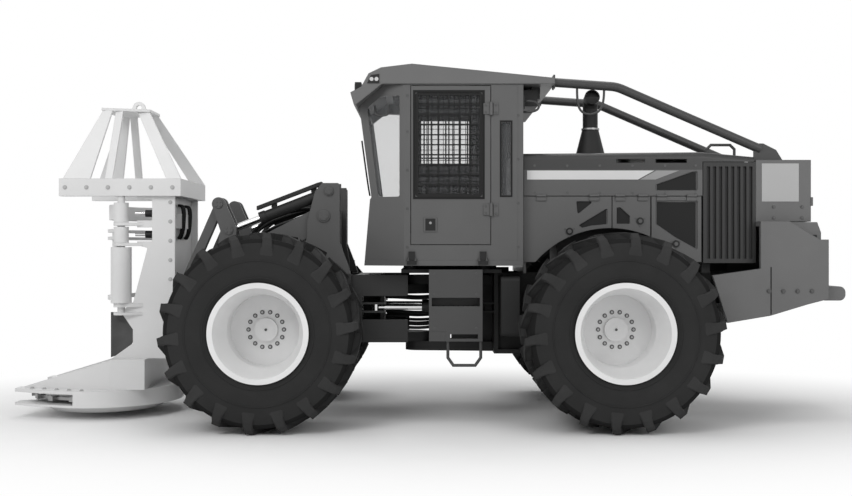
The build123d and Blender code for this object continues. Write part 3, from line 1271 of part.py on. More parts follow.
def housing_plan(low):
    """The housing's plan, a disc with two prongs and a mouth, at a height."""
    with BuildSketch(Plane.XY.offset(low)) as plan:
        with Locations((SAW_X, 0)):
            Circle(HOUSING_RADIUS)
        for side in SIDES:
            with BuildLine():
                Polyline(*[(x, side * y) for x, y in PRONG], close=True)
            make_face()
        with Locations((MOUTH_X + 500, 0)):
            Rectangle(1000, 2 * THROAT_RADIUS, mode=Mode.SUBTRACT)
    return plan.sketch


with BuildPart() as saw_housing:
    with Locations((SAW_X, 0, 91)):
        Cone(520, 660, 72)
    extrude(housing_plan(127), amount=23)
    extrude(housing_plan(DECK_LOW), amount=DECK_PLATE)
    with BuildSketch(Plane.XY.offset(150)) as band:
        with Locations((SAW_X, 0)):
            Circle(HOUSING_RADIUS)
            Circle(HOUSING_RADIUS - 22, mode=Mode.SUBTRACT)
        with Locations((SAW_X + 600, 0)):
            Rectangle(1000, 2 * HOUSING_RADIUS + 10, mode=Mode.SUBTRACT)
    extrude(band.sketch, amount=DECK_LOW - 150)
    rod((SAW_X, 0, 127), (SAW_X, 0, SAW_Z - SAW_THICKNESS / 2 - PIN_GAP), 110)
    box((2600, 2925), (-620, 620), (DECK_LOW + DECK_PLATE, HEAD_FOOT))
    for side in SIDES:
        with BuildSketch(Plane.YZ.offset(2925)) as tall:
            with Locations((side * 485, 415)):
                Rectangle(270, 270)
        with BuildSketch(Plane.YZ.offset(3760)) as low:
            with Locations((side * 440, 288)):
                Rectangle(90, 16)
        loft([tall.sketch, low.sketch], ruled=True)
save(saw_housing, "saw_housing")

# Saw disc with teeth on its rim
TEETH = 18
with BuildPart() as saw_disc:
    rod((SAW_X, 0, SAW_Z - SAW_THICKNESS / 2), (SAW_X, 0, SAW_Z + SAW_THICKNESS / 2), SAW_RADIUS - 45)
    rod((SAW_X, 0, SAW_Z), (SAW_X, 0, SAW_Z + 30), 110)
    with BuildSketch(Plane.XY.offset(SAW_Z - 22)) as teeth:
        with Locations((SAW_X, 0)):
            with PolarLocations(SAW_RADIUS - 45, TEETH):
                Rectangle(80, 60)
    extrude(teeth.sketch, amount=44)
save(saw_disc, "saw_disc")
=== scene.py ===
from math import cos, pi, radians, sin

import bmesh
import bpy
from mathutils import Matrix, Vector


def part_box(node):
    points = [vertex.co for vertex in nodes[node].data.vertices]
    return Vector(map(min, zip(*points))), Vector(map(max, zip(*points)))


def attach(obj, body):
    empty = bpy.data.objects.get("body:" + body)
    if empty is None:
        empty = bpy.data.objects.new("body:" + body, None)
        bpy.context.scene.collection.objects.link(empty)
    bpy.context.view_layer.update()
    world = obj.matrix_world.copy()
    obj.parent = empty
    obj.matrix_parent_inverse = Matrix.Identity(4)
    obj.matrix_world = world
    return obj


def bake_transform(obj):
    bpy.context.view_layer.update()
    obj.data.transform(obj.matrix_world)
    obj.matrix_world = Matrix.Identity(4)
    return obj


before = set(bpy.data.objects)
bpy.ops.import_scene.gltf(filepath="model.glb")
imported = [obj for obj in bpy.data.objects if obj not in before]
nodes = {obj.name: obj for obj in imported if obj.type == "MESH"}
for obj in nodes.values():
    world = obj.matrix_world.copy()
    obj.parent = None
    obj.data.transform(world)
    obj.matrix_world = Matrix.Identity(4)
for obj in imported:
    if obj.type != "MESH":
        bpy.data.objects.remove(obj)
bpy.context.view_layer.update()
scene = bpy.context.scene
SIDES = (1, -1)
FORWARD = (1, 0, 0)
LEFT = (0, 1, 0)
UP = (0, 0, 1)

# Faces of the solids that small pieces stand on, as distances from the middle plane in metres
HOOD_WALL = 0.66
MESH_RECESS = 0.6462
CAB_WALL = 0.76
VISOR_WALL = 0.775
BUMPER_WALL = 0.8
JUST_OFF = 0.0003
TOWER_FACE = 0.519
LEVER_FACE = 0.505


# Materials: greys as in the photo, given as display values from 0 to 255
def linear(value):
    """A display value as linear light."""
    v = value / 255
    return v / 12.92 if v <= 0.04045 else ((v + 0.055) / 1.055) ** 2.4


def material(name, grey, rough=0.5, metal=0.0, speck=0.06, grain=18.0, bump=0.0, coat=0.0, shine=0.35):
    """A plain paint or metal: one grey with a slow drift in tone and roughness, and a fine bump."""
    mat = bpy.data.materials.new(name)
    mat.use_nodes = True
    tree = mat.node_tree
    shader = tree.nodes["Principled BSDF"]
    shader.inputs["Metallic"].default_value = metal
    shader.inputs["Specular IOR Level"].default_value = shine
    shader.inputs["Coat Weight"].default_value = coat
    shader.inputs["Coat Roughness"].default_value = 0.2
    place = tree.nodes.new("ShaderNodeTexCoord")
    noise = tree.nodes.new("ShaderNodeTexNoise")
    noise.inputs["Scale"].default_value = grain / 10
    noise.inputs["Detail"].default_value = 6
    tree.links.new(place.outputs["Object"], noise.inputs["Vector"])
    tone = tree.nodes.new("ShaderNodeMapRange")
    base = linear(grey)
    tone.inputs["From Min"].default_value = 0.3
    tone.inputs["From Max"].default_value = 0.7
    tone.inputs["To Min"].default_value = base * (1 - speck)
    tone.inputs["To Max"].default_value = base * (1 + speck)
    tree.links.new(noise.outputs["Fac"], tone.inputs["Value"])
    tree.links.new(tone.outputs["Result"], shader.inputs["Base Color"])
    gloss = tree.nodes.new("ShaderNodeMapRange")
    gloss.inputs["To Min"].default_value = max(0.05, rough - 0.08)
    gloss.inputs["To Max"].default_value = min(1.0, rough + 0.08)
    tree.links.new(noise.outputs["Fac"], gloss.inputs["Value"])
    tree.links.new(gloss.outputs["Result"], shader.inputs["Roughness"])
    if bump:
        fine = tree.nodes.new("ShaderNodeTexNoise")
        fine.inputs["Scale"].default_value = grain * 8
        tree.links.new(place.outputs["Object"], fine.inputs["Vector"])
        lift = tree.nodes.new("ShaderNodeBump")
        lift.inputs["Strength"].default_value = bump
        lift.inputs["Distance"].default_value = 0.003
        tree.links.new(fine.outputs["Fac"], lift.inputs["Height"])
        tree.links.new(lift.outputs["Normal"], shader.inputs["Normal"])
    return mat


def soften(mat, radius):
    """Rounds the look of sharp edges."""
    tree = mat.node_tree
    edge = tree.nodes.new("ShaderNodeBevel")
    edge.samples = 3
    edge.inputs["Radius"].default_value = radius
    shader = tree.nodes["Principled BSDF"]
    for link in list(tree.links):
        if link.to_socket == shader.inputs["Normal"]:
            bump = link.from_node
            tree.links.new(edge.outputs["Normal"], bump.inputs["Normal"])
            return
    tree.links.new(edge.outputs["Normal"], shader.inputs["Normal"])


def banded(mat, grey, level, side="GREATER_THAN"):
    """Turns a paint to another grey above or below a height."""
    tree = mat.node_tree
    shader = tree.nodes["Principled BSDF"]
    place = next(n for n in tree.nodes if n.type == "TEX_COORD")
    split = tree.nodes.new("ShaderNodeSeparateXYZ")
    tree.links.new(place.outputs["Object"], split.inputs["Vector"])
    beyond = tree.nodes.new("ShaderNodeMath")
    beyond.operation = side
    beyond.inputs[1].default_value = level
    tree.links.new(split.outputs["Z"], beyond.inputs[0])
    mix = tree.nodes.new("ShaderNodeMix")
    mix.data_type = "RGBA"
    source = next(k for k in tree.links if k.to_socket == shader.inputs["Base Color"]).from_socket
    colours = [s for s in mix.inputs if s.type == "RGBA"]
    tree.links.new(beyond.outputs["Value"], mix.inputs[0])
    tree.links.new(source, colours[0])
    colours[1].default_value = (linear(grey), linear(grey), linear(grey), 1)
    result = next(s for s in mix.outputs if s.type == "RGBA")
    tree.links.new(result, shader.inputs["Base Color"])


PAINT = material("body grey", 88, 0.42, bump=0.04, coat=0.1)
HOOD = material("hood grey", 86, 0.4, bump=0.04, coat=0.1)
TOWER = material("tower grey", 82, 0.45, bump=0.05)
FRONT = material("front frame grey", 82, 0.5, bump=0.06)
ROOF = material("roof grey", 104, 0.45, bump=0.05)
REAR = material("bumper grey", 104, 0.5, bump=0.06)
FRAME = material("frame grey", 40, 0.6, bump=0.08, shine=0.25)
LADDER = material("step grey", 72, 0.55, bump=0.06)
TUBE = material("tube grey", 60, 0.4)
GRILLE = material("grille grey", 48, 0.5, bump=0.04)
HEAD = material("head pale grey", 222, 0.42, bump=0.05, speck=0.04)
RIM = material("rim pale grey", 230, 0.4, speck=0.04)
TYRE = material("tyre rubber", 46, 0.9, bump=0.35, speck=0.14, grain=30, shine=0.15)
TREAD = material("tread rubber", 52, 0.85, bump=0.3, speck=0.2, grain=30, shine=0.2)
# the groove rubber is darker than the sidewall: painted shade in the gaps between the lugs
SHADED_GROOVE = material("groove rubber", 32, 0.95, bump=0.3, speck=0.14, grain=30, shine=0.1)
RUBBER = material("black rubber", 22, 0.7, bump=0.1, shine=0.25)
BLACK = material("black trim", 24, 0.5, shine=0.3)
MESH = material("black mesh", 34, 0.65, shine=0.2)
FLAP = material("flap grey", 84, 0.75, bump=0.3, speck=0.25, grain=40, shine=0.2)
STEEL = material("worn steel", 150, 0.35, metal=0.9)
CHROME = material("rod chrome", 215, 0.12, metal=1.0, speck=0.02)
STACK = material("stack metal", 28, 0.55, bump=0.1, shine=0.3)
CLOTH = material("seat cloth", 36, 0.9, bump=0.3, grain=60, shine=0.2)
STRIPE = material("stripe grey", 214, 0.35, speck=0.02)
STRIPE_DARK = material("stripe end grey", 150, 0.35, speck=0.02)
PLATE = material("blank plate grey", 176, 0.45, speck=0.03)
LENS = material("lamp lens", 205, 0.15, speck=0.02)
BOLT = material("bolt steel", 84, 0.4, metal=0.7)
PALE_BOLT = material("pale bolt", 178, 0.4, metal=0.2)

EDGE_RADII = (
    (PAINT, 0.006), (HOOD, 0.008), (TOWER, 0.006), (FRONT, 0.006), (ROOF, 0.014), (REAR, 0.01),
    (FRAME, 0.005), (HEAD, 0.006), (TYRE, 0.012), (TREAD, 0.008),
)
for paint, radius in EDGE_RADII:
    soften(paint, radius)
HOOD_DARK_ABOVE = 2.312
FRONT_DARK_BELOW = 1.352
banded(HOOD, 54, HOOD_DARK_ABOVE)
banded(FRONT, 42, FRONT_DARK_BELOW, "LESS_THAN")

GLASS = bpy.data.materials.new("window glass")
GLASS.use_nodes = True
pane = GLASS.node_tree.nodes["Principled BSDF"]
pane.inputs["Base Color"].default_value = (linear(150), linear(152), linear(154), 1)
pane.inputs["Roughness"].default_value = 0.03
pane.inputs["Alpha"].default_value = 0.14

NODE_PAINT = {
    "rear_frame": FRAME, "rear_axle": FRAME, "engine": FRAME, "hood": HOOD, "radiator_grilles": GRILLE,
    "rear_housing": REAR, "rear_bumper": REAR, "bumper_sides": REAR, "push_bar": REAR,
    "guard_tubes": TUBE, "exhaust_stack": STACK,
    "cab_floor": PAINT, "cab_rear_wall": PAINT, "cab_front_wall": PAINT, "cab_left_wall": PAINT,
    "cab_right_wall": PAINT, "cab_roof": ROOF, "cab_glass": GLASS, "cab_guards": BLACK,
    "operator_seat": CLOTH, "cab_mounts": RUBBER, "step_ladder": LADDER, "side_tanks": FRAME,
    "work_lamps": BLACK, "cab_door": PAINT, "door_glass": GLASS, "door_grille": MESH,
    "front_frame": FRONT, "front_axle": FRAME, "boom": TOWER,
    "tilt_levers": TOWER, "tilt_links": TOWER, "lift_barrels": FRAME, "tilt_barrels": FRAME,
    "lift_rods": CHROME, "tilt_rods": CHROME, "head_frame": HEAD, "head_top_guard": HEAD,
    "saw_housing": HEAD, "saw_disc": STEEL, "harvest_arm": HEAD, "accumulator_arm": HEAD,
}
PREFIX_PAINT = (
    ("tyre_", TYRE), ("rim_", RIM), ("engine_door", PAINT), ("steer_barrel", FRAME), ("steer_rod", CHROME),
)


def set_material(obj, mat):
    obj.data.materials.clear()
    obj.data.materials.append(mat)


for name, obj in nodes.items():
    paint = NODE_PAINT.get(name)
    if paint is None:
        paint = next(mat for start, mat in PREFIX_PAINT if name.startswith(start))
    set_material(obj, paint)


# Small pieces are gathered by body and material, and each gathering becomes one mesh
gathered = {}


def store(body, mat):
    """The mesh that gathers the small pieces of one body and material."""
    key = (body, mat.name)
    if key not in gathered:
        gathered[key] = bmesh.new()
    return gathered[key]


def disc(body, mat, at, axis, radius, height, sides=20, top=None):
    """A round piece that stands on a point, along an axis."""
    along = Vector(axis).normalized()
    turn = Vector(UP).rotation_difference(along).to_matrix().to_4x4()
    bmesh.ops.create_cone(
        store(body, mat), cap_ends=True, segments=sides, radius1=radius,
        radius2=radius if top is None else top, depth=height,
        matrix=Matrix.Translation(Vector(at) + along * height / 2) @ turn,
    )


def bolts(body, mat, points, axis, radius, height):
    """Hexagon heads with washers."""
    for point in points:
        disc(body, mat, point, axis, radius * 1.5, height * 0.3, 14)
        disc(body, mat, point, axis, radius, height, 6)


def slab(body, mat, low, high):
    """A block between two corners."""
    low, high = Vector(low), Vector(high)
    place = Matrix.Translation((low + high) / 2) @ Matrix.Diagonal((*(high - low), 1))
    bmesh.ops.create_cube(store(body, mat), size=1, matrix=place)


def panel(body, mat, outline, y, out, thick=0.0015):
    """A thin plate on a side face, from an outline in x and z."""
    bm = store(body, mat)
    ring = [bm.verts.new((x, y + out * thick, z)) for x, z in outline]
    back = [bm.verts.new((x, y, z)) for x, z in outline]
    faces = [bm.faces.new(ring), bm.faces.new(back[::-1])]
    count = len(outline)
    for i in range(count):
        k = (i + 1) % count
        faces.append(bm.faces.new((ring[i], ring[k], back[k], back[i])))
    bmesh.ops.recalc_face_normals(bm, faces=faces)


def hose(name, body, mat, points, radius):
    """A smooth tube along points; it rides on a body, or stays fixed where it is drawn when body is not a
    name.
    """
    curve = bpy.data.curves.new(name, "CURVE")
    curve.dimensions = "3D"
    curve.bevel_depth = radius
    curve.bevel_resolution = 2
    curve.resolution_u = 6
    curve.use_fill_caps = True
    line = curve.splines.new("NURBS")
    line.points.add(len(points) - 1)
    for spot, point in zip(line.points, points):
        spot.co = (*point, 1)
    line.use_endpoint_u = True
    line.order_u = 4
    made = bpy.data.objects.new(name, curve)
    scene.collection.objects.link(made)
    graph = bpy.context.evaluated_depsgraph_get()
    mesh = bpy.data.meshes.new_from_object(made.evaluated_get(graph))
    bpy.data.objects.remove(made)
    solid = bpy.data.objects.new(name, mesh)
    scene.collection.objects.link(solid)
    set_material(solid, mat)
    for poly in mesh.polygons:
        poly.use_smooth = True
    if isinstance(body, str):
        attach(solid, body)
    else:
        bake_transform(solid)


def ride_mesh(name, body, mat, bm, smooth=False):
    """One piece from a finished mesh, riding on a body."""
    mesh = bpy.data.meshes.new(name)
    bm.to_mesh(mesh)
    bm.free()
    for poly in mesh.polygons:
        poly.use_smooth = smooth
    obj = bpy.data.objects.new(name, mesh)
    scene.collection.objects.link(obj)
    set_material(obj, mat)
    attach(obj, body)


def turned(name, body, mat, profile, centre, sides=96):
    """A smooth ring turned about the Y axis from (radius, y) points, y measured from the centre."""
    bm = bmesh.new()
    rows = []
    for step in range(sides):
        a = 2 * pi * step / sides
        spots = [(centre[0] + r * cos(a), centre[1] + y, centre[2] + r * sin(a)) for r, y in profile]
        rows.append([bm.verts.new(spot) for spot in spots])
    for step in range(sides):
        here, there = rows[step], rows[(step + 1) % sides]
        for i in range(len(profile) - 1):
            bm.faces.new((here[i], here[i + 1], there[i + 1], there[i]))
    bmesh.ops.recalc_face_normals(bm, faces=bm.faces[:])
    ride_mesh(name, body, mat, bm, smooth=True)


def ring_points(centre, radius, count, start=0.0):
    """Points on a circle about the Y axis."""
    angles = [start + 2 * pi * i / count for i in range(count)]
    return [(centre[0] + radius * cos(a), centre[1], centre[2] + radius * sin(a)) for a in angles]


# Wheels: rounded sidewalls and crown, lugs, bead rings, wheel nuts and hub bolt
# sidewall from the bead to the shoulder: radius, distance from the wheel's middle
SIDEWALL = (
    (0.436, 0.351), (0.47, 0.374), (0.53, 0.388), (0.6, 0.393),
    (0.66, 0.3915), (0.72, 0.381), (0.77, 0.368), (0.806, 0.353),
)
SHOULDER = 6
GROOVE_FLOOR = ((0.8035, 0.2), (0.8035, -0.2))
TYRE_HALF_WIDTH = 0.3875
LUGS = 18
LUG_SWEEP = 0.19
LUG_HALF_WIDTH = 0.036
LUG_RADIUS = 0.855
# lug from the sidewall to the middle of the tread: top y and radius, foot y and radius, spread
LUG_ROWS = (
    (0.3895, 0.65, 0.38, 0.64, 2.1), (0.391, 0.7, 0.372, 0.688, 1.8), (0.39, 0.755, 0.355, 0.7, 1.4),
    (0.376, 0.818, 0.335, 0.74, 1.15), (0.349, 0.856, 0.32, 0.785, 1.0), (0.2, 0.861, 0.2, 0.79, 1.0),
    (0.012, 0.862, 0.012, 0.79, 1.0),
)
# across a lug: share of half width at the top, share of the height
LUG_SHAPE = ((-1.35, 0), (-1.0, 0.86), (-0.78, 1), (0.78, 1), (1.0, 0.86), (1.35, 0))
# bead rings: radius, distance from the wheel's middle; and their section
RIBS = ((0.475, 0.377), (0.62, 0.394))
RIB_SECTION = ((-0.008, -0.004), (-0.004, 0.004), (0.004, 0.004), (0.008, -0.004))
DISC_INSET = 0.1275
STUD_CIRCLE = 0.158
STUDS = 14
HUB_CAP_DEPTH = 0.028


def tread(name, body, centre, out):
    """Two rows of slanted, bevelled lugs, half a pitch apart."""
    bm = bmesh.new()
    for half, shift in ((out, 0.0), (-out, 0.5)):
        for step in range(LUGS):
            start = pi / 2 + 2 * pi * (step + shift) / LUGS
            rows = []
            for top_y, top_r, foot_y, foot_r, spread in LUG_ROWS:
                slant = LUG_SWEEP * (0.5 - (TYRE_HALF_WIDTH - top_y) / TYRE_HALF_WIDTH)
                ring = []
                for across, rise in LUG_SHAPE:
                    r = foot_r + (top_r - foot_r) * rise
                    y = foot_y + (top_y - foot_y) * rise
                    a = start + (slant + across * spread * LUG_HALF_WIDTH) / LUG_RADIUS
                    spot = (centre.x + r * cos(a), centre.y + half * y, centre.z + r * sin(a))
                    ring.append(bm.verts.new(spot))
                rows.append(ring)
            for here, there in zip(rows, rows[1:]):
                for i in range(len(LUG_SHAPE) - 1):
                    bm.faces.new((here[i], here[i + 1], there[i + 1], there[i]))
            bm.faces.new(rows[0])
            bm.faces.new(rows[-1])
    bmesh.ops.recalc_face_normals(bm, faces=bm.faces[:])
    ride_mesh(name, body, TREAD, bm)


for corner in ("front_left", "front_right", "rear_left", "rear_right"):
    low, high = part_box("tyre_" + corner)
    mid = (low + high) / 2
    body = "wheel_" + corner
    out = 1 if mid.y > 0 else -1
    outward = (0, out, 0)
    for half, side in ((1, "left"), (-1, "right")):
        wall = [(r, half * y) for r, y in SIDEWALL[:SHOULDER + 1]]
        turned("tyre_side_%s_%s" % (corner, side), body, TYRE, wall, mid)
    far_edge = [(r, -y) for r, y in SIDEWALL[:SHOULDER - 1:-1]]
    # the crown between the lugs gets the darker groove rubber, which is painted shade in the gaps
    turned("tyre_groove_" + corner, body, SHADED_GROOVE, [*SIDEWALL[SHOULDER:], *GROOVE_FLOOR, *far_edge], mid)
    tread("tyre_tread_" + corner, body, mid, out)
    for r, y in RIBS:
        rib = [(r + dr, out * (y + dy)) for dr, dy in RIB_SECTION]
        turned("tyre_rib_%s_%d" % (corner, r * 1000), body, TYRE, rib, mid)
    face = (mid.x, mid.y - out * DISC_INSET, mid.z)
    for spot in ring_points(face, STUD_CIRCLE, STUDS):
        disc(body, BOLT, spot, outward, 0.02, 0.004, 18)
        disc(body, PALE_BOLT, spot, outward, 0.011, 0.012, 6)
    disc(body, BOLT, (face[0], face[1] + out * HUB_CAP_DEPTH, face[2]), outward, 0.012, 0.006, 20)

# Hood: light stripe with a slanted end, mesh windows, door latches and bolts; outlines in x and z
STRIPE_OUTLINE = [(-0.93, 2.305), (-0.93, 2.222), (-1.95, 2.222), (-2.1, 2.305)]
STRIPE_END = [(-2.12, 2.305), (-1.97, 2.222), (-2.11, 2.222), (-2.33, 2.305)]
HOOD_MESH = [(-2.112, 2.12), (-2.112, 2.175), (-2.46, 2.298), (-2.498, 2.298), (-2.498, 2.12)]
DOOR_MESH = (
    ("front", [(-1.383, 2.022), (-1.544, 2.022), (-1.395, 1.9)]),
    ("front", [(-1.67, 1.96), (-1.67, 1.812), (-1.52, 1.797), (-1.432, 1.776), (-1.402, 1.8)]),
    ("middle", [(-1.755, 1.965), (-1.79, 1.965), (-1.877, 1.885), (-1.877, 1.812), (-1.755, 1.812)]),
    ("rear", [(-2.112, 2.029), (-2.498, 2.029), (-2.498, 1.57), (-2.291, 1.685), (-2.112, 1.81)]),
)
LATCHES = (("front", -1.32, 1.745), ("middle", -1.97, 1.84), ("rear", -2.3, 1.63))
HOOD_BOLT_ROWS = (2.1, 2.35)


def shrunk(outline, share=0.93):
    """An outline drawn in towards its middle."""
    x = sum(p[0] for p in outline) / len(outline)
    z = sum(p[1] for p in outline) / len(outline)
    return [(x + (a - x) * share, z + (b - z) * share) for a, b in outline]


for side in SIDES:
    outward = (0, side, 0)
    y = side * (HOOD_WALL + JUST_OFF)
    panel("rear", STRIPE, STRIPE_OUTLINE, y, side)
    panel("rear", STRIPE_DARK, STRIPE_END, y, side)
    panel("rear", MESH, shrunk(HOOD_MESH), side * MESH_RECESS, side)
    door = "engine_door_%s_" % ("left" if side > 0 else "right")
    for part, outline in DOOR_MESH:
        panel(door + part, MESH, shrunk(outline), side * MESH_RECESS, side)
    for part, x, z in LATCHES:
        disc(door + part, BLACK, (x, y, z), outward, 0.034, 0.008, 28)
        disc(door + part, BOLT, (x, y + side * 0.008, z), outward, 0.018, 0.006, 20)
        bolts(door + part, BOLT, ring_points((x, y, z), 0.046, 3, pi / 6), outward, 0.006, 0.006)
    for x in (-1.0, -1.3, -1.6, -1.9, -2.2, -2.48):
        bolts("rear", BOLT, [(x, y, z) for z in HOOD_BOLT_ROWS], outward, 0.008, 0.006)

# Rear housing: blank plate, bolts and latch; seam and lid latch of the bumper; plate behind the radiator
PLATE_OUTLINE = [(-3.09, 2.02), (-3.09, 2.37), (-3.43, 2.37), (-3.43, 2.02)]
SEAM_OUTLINE = [(-3.125, 1.42), (-3.135, 1.42), (-3.135, 0.99), (-3.125, 0.985)]
SEAM_OFF = 0.0001
for side in SIDES:
    outward = (0, side, 0)
    y = side * (HOOD_WALL + JUST_OFF)
    panel("rear", PLATE, PLATE_OUTLINE, y, side, 0.002)
    bolts("rear", BOLT, [(x, y, z) for x in (-3.2, -3.46) for z in (1.87, 1.97)], outward, 0.012, 0.009)
    slab("rear", BOLT, (-3.56, y - 0.02, 1.98), (-3.54, y + 0.004, 2.06))
    panel("rear", RUBBER, SEAM_OUTLINE, side * (BUMPER_WALL + SEAM_OFF), side, 0.002)
slab("rear", BLACK, (-3.57, 0.724, 1.69), (-3.5, 0.733, 1.712))
slab("rear", FRAME, (-2.95, -0.01, 1.37), (-2.66, 0.01, 1.6))

# Exhaust: outer cone, clamp and the guard rod hung from the tube
STACK_X, STACK_Y = -1.582, 0.2
CONE_LOW, CONE_HEIGHT = 2.476, 0.25
ROD_Y = 0.59
disc("rear", STACK, (STACK_X, STACK_Y, CONE_LOW), UP, 0.142, CONE_HEIGHT, 56, top=0.079)
disc("rear", STEEL, (STACK_X, STACK_Y, CONE_LOW + CONE_HEIGHT), UP, 0.086, 0.016, 40)
hose(
    "stack_guard_rod", "rear", TUBE,
    [
        (-1.4, ROD_Y, 3.075), (-1.4, ROD_Y, 2.97), (-1.41, ROD_Y, 2.86), (-1.52, ROD_Y, 2.815),
        (-1.63, ROD_Y, 2.86), (-1.65, ROD_Y, 2.97), (-1.65, ROD_Y, 3.06),
    ],
    0.011,
)

# Cab: window seals, wires behind the door grille, lock, lining, handles, lamps, hinges, bolts, wiper
WINDOW_FRONT, WINDOW_REAR = 0.096, -0.513
WINDOW_LOW, WINDOW_HIGH = 2.059, 3.008
WINDOW_WIDTH = WINDOW_FRONT - WINDOW_REAR
WINDOW_HEIGHT = WINDOW_HIGH - WINDOW_LOW
DOOR_WINDOW = [
    (WINDOW_FRONT, WINDOW_LOW), (WINDOW_FRONT, WINDOW_HIGH),
    (WINDOW_REAR, WINDOW_HIGH), (WINDOW_REAR, WINDOW_LOW),
]
SLIT_WINDOW = [(-0.687, 2.07), (-0.687, 2.74), (-0.773, 2.74), (-0.773, 2.07)]
UPRIGHT_BAYS, CROSS_BAYS = 12, 20
UPRIGHT_Y, CROSS_Y = 0.745, 0.7445
WIRE_RADIUS = 0.003
WIRE_END = 0.001
# lining inside the right wall, with the far window's clear part left open
LINING_Y, LINING_THICK = -0.709, 0.008
LINING = (
    [(0.2, 1.75), (0.2, 2.477), (-0.62, 2.477), (-0.62, 1.75)],
    [(0.2, 2.92), (0.2, 3.05), (-0.62, 3.05), (-0.62, 2.92)],
    [(0.2, 2.477), (0.2, 2.92), (0.05, 2.92), (0.05, 2.477)],
    [(-0.45, 2.477), (-0.45, 2.92), (-0.62, 2.92), (-0.62, 2.477)],
)
REAR_HANDLE = [
    (-0.88, 0.7, 2.93), (-0.93, 0.74, 2.94), (-1.03, 0.74, 2.93),
    (-1.04, 0.74, 2.84), (-0.93, 0.74, 2.83), (-0.88, 0.7, 2.84),
]
FRONT_HANDLE = [
    (0.47, 0.66, 2.9), (0.46, 0.71, 2.82), (0.45, 0.72, 2.8),
    (0.35, 0.75, 2.8), (0.34, 0.74, 2.82), (0.34, 0.7, 2.9),
]
HINGE_HEIGHTS = (1.94, 2.86)
WIPER = [(0.545, 0.1, 2.1), (0.56, 0.12, 2.16), (0.6, 0.2, 2.5), (0.615, 0.24, 2.62)]
VISOR_LAMP = [(0.425, 3.09), (0.425, 3.175), (0.5, 3.165), (0.535, 3.09)]


def seal(body, outline, y, side, width=0.022):
    """A flat rubber frame round a side window."""
    cx = sum(p[0] for p in outline) / len(outline)
    cz = sum(p[1] for p in outline) / len(outline)
    for i, a in enumerate(outline):
        b = outline[(i + 1) % len(outline)]
        along = Vector((b[0] - a[0], b[1] - a[1])).normalized()
        out = Vector((along.y, -along.x))
        if out.dot(Vector((a[0] - cx, a[1] - cz))) < 0:
            out = -out
        a2, b2 = Vector(a) + out * width - along * width, Vector(b) + out * width + along * width
        panel(body, RUBBER, [a, b, tuple(b2), tuple(a2)], y, side, 0.003)


seal("cab_door", DOOR_WINDOW, CAB_WALL + JUST_OFF, 1)
for side in SIDES:
    seal("rear", SLIT_WINDOW, side * (CAB_WALL + JUST_OFF), side, 0.014)
for i in range(1, UPRIGHT_BAYS):
    foot = (WINDOW_FRONT - WINDOW_WIDTH * i / UPRIGHT_BAYS, UPRIGHT_Y, WINDOW_LOW + WIRE_END)
    disc("cab_door", MESH, foot, UP, WIRE_RADIUS, WINDOW_HEIGHT - 2 * WIRE_END, 6)
for i in range(1, CROSS_BAYS):
    foot = (WINDOW_REAR + WIRE_END, CROSS_Y, WINDOW_LOW + WINDOW_HEIGHT * i / CROSS_BAYS)
    disc("cab_door", MESH, foot, FORWARD, WIRE_RADIUS, WINDOW_WIDTH - 2 * WIRE_END, 6)
slab("cab_door", BLACK, (-0.086, 0.769, 1.75), (0.006, 0.7715, 1.86))
disc("cab_door", STEEL, (-0.04, 0.7715, 1.82), LEFT, 0.012, 0.008)
for outline in LINING:
    panel("rear", CLOTH, outline, LINING_Y, 1, LINING_THICK)
slab("rear", BLACK, (-1.03, -0.62, 2.9), (-0.892, 0.62, 3.05))
hose("rear_handle", "rear", TUBE, REAR_HANDLE, 0.011)
hose("front_handle", "rear", TUBE, FRONT_HANDLE, 0.01)
for lamp_y in (-0.52, -0.26, 0.26, 0.52):
    disc("rear", LENS, (0.66, lamp_y, 3.093), FORWARD, 0.03, 0.006, 24)
for side in SIDES:
    y = side * (CAB_WALL + JUST_OFF)
    disc("rear", LENS, (-1.06, side * 0.49, 3.03), (-1, 0, 0), 0.045, 0.006, 24)
    slab("rear", BLACK, (-0.9, y - 0.02, 2.86), (-0.89, y, 2.98))
for z in HINGE_HEIGHTS:
    slab("rear", PAINT, (-0.66, 0.7595, z - 0.055), (-0.614, 0.768, z + 0.055))
    bolts("rear", BOLT, [(-0.638, 0.768, z + d) for d in (-0.035, 0.035)], LEFT, 0.009, 0.008)
    bolts("cab_door", BOLT, [(-0.545, 0.772, z + d) for d in (-0.03, 0.03)], LEFT, 0.009, 0.006)
bolts("rear", BOLT, [(0.17, CAB_WALL, z) for z in (1.6, 1.95, 2.3, 2.65, 2.98)], LEFT, 0.009, 0.007)
bolts("rear", BOLT, [(-0.84, CAB_WALL, z) for z in (1.6, 2.0, 2.4, 2.8)], LEFT, 0.009, 0.007)
for side in SIDES:
    y = side * (VISOR_WALL + JUST_OFF)
    panel("rear", BLACK, VISOR_LAMP, y, side, 0.006)
    for x in (0.45, 0.495):
        disc("rear", LENS, (x, y + side * 0.006, 3.128), (0, side, 0), 0.018, 0.004, 24)
hose("wiper_arm", "rear", BLACK, WIPER, 0.008)

# Tower and linkage: pin covers with bolts; body, x, z, radius, face
BOOM_PIN_X, BOOM_PIN_Z = 0.957, 1.893
COVER_THICK = 0.012
PIN_COVERS = (
    ("front", BOOM_PIN_X, BOOM_PIN_Z, 0.043, TOWER_FACE),
    ("front", 0.908, 2.124, 0.032, TOWER_FACE),
    ("levers", 1.9, 1.38, 0.05, LEVER_FACE),
    ("levers", 1.846, 1.76, 0.042, LEVER_FACE),
    ("levers", 1.94, 2.005, 0.04, LEVER_FACE),
    ("head", 2.28, 0.6, 0.052, LEVER_FACE),
    ("head", 2.33, 1.12, 0.045, LEVER_FACE),
)
for side in SIDES:
    outward = (0, side, 0)
    for body, x, z, r, y in PIN_COVERS:
        disc(body, BOLT, (x, side * y, z), outward, r, COVER_THICK, 28)
        lifted = (x, side * (y + COVER_THICK), z)
        bolts(body, BOLT, ring_points(lifted, r * 0.6, 4, pi / 4), outward, 0.008, 0.008)

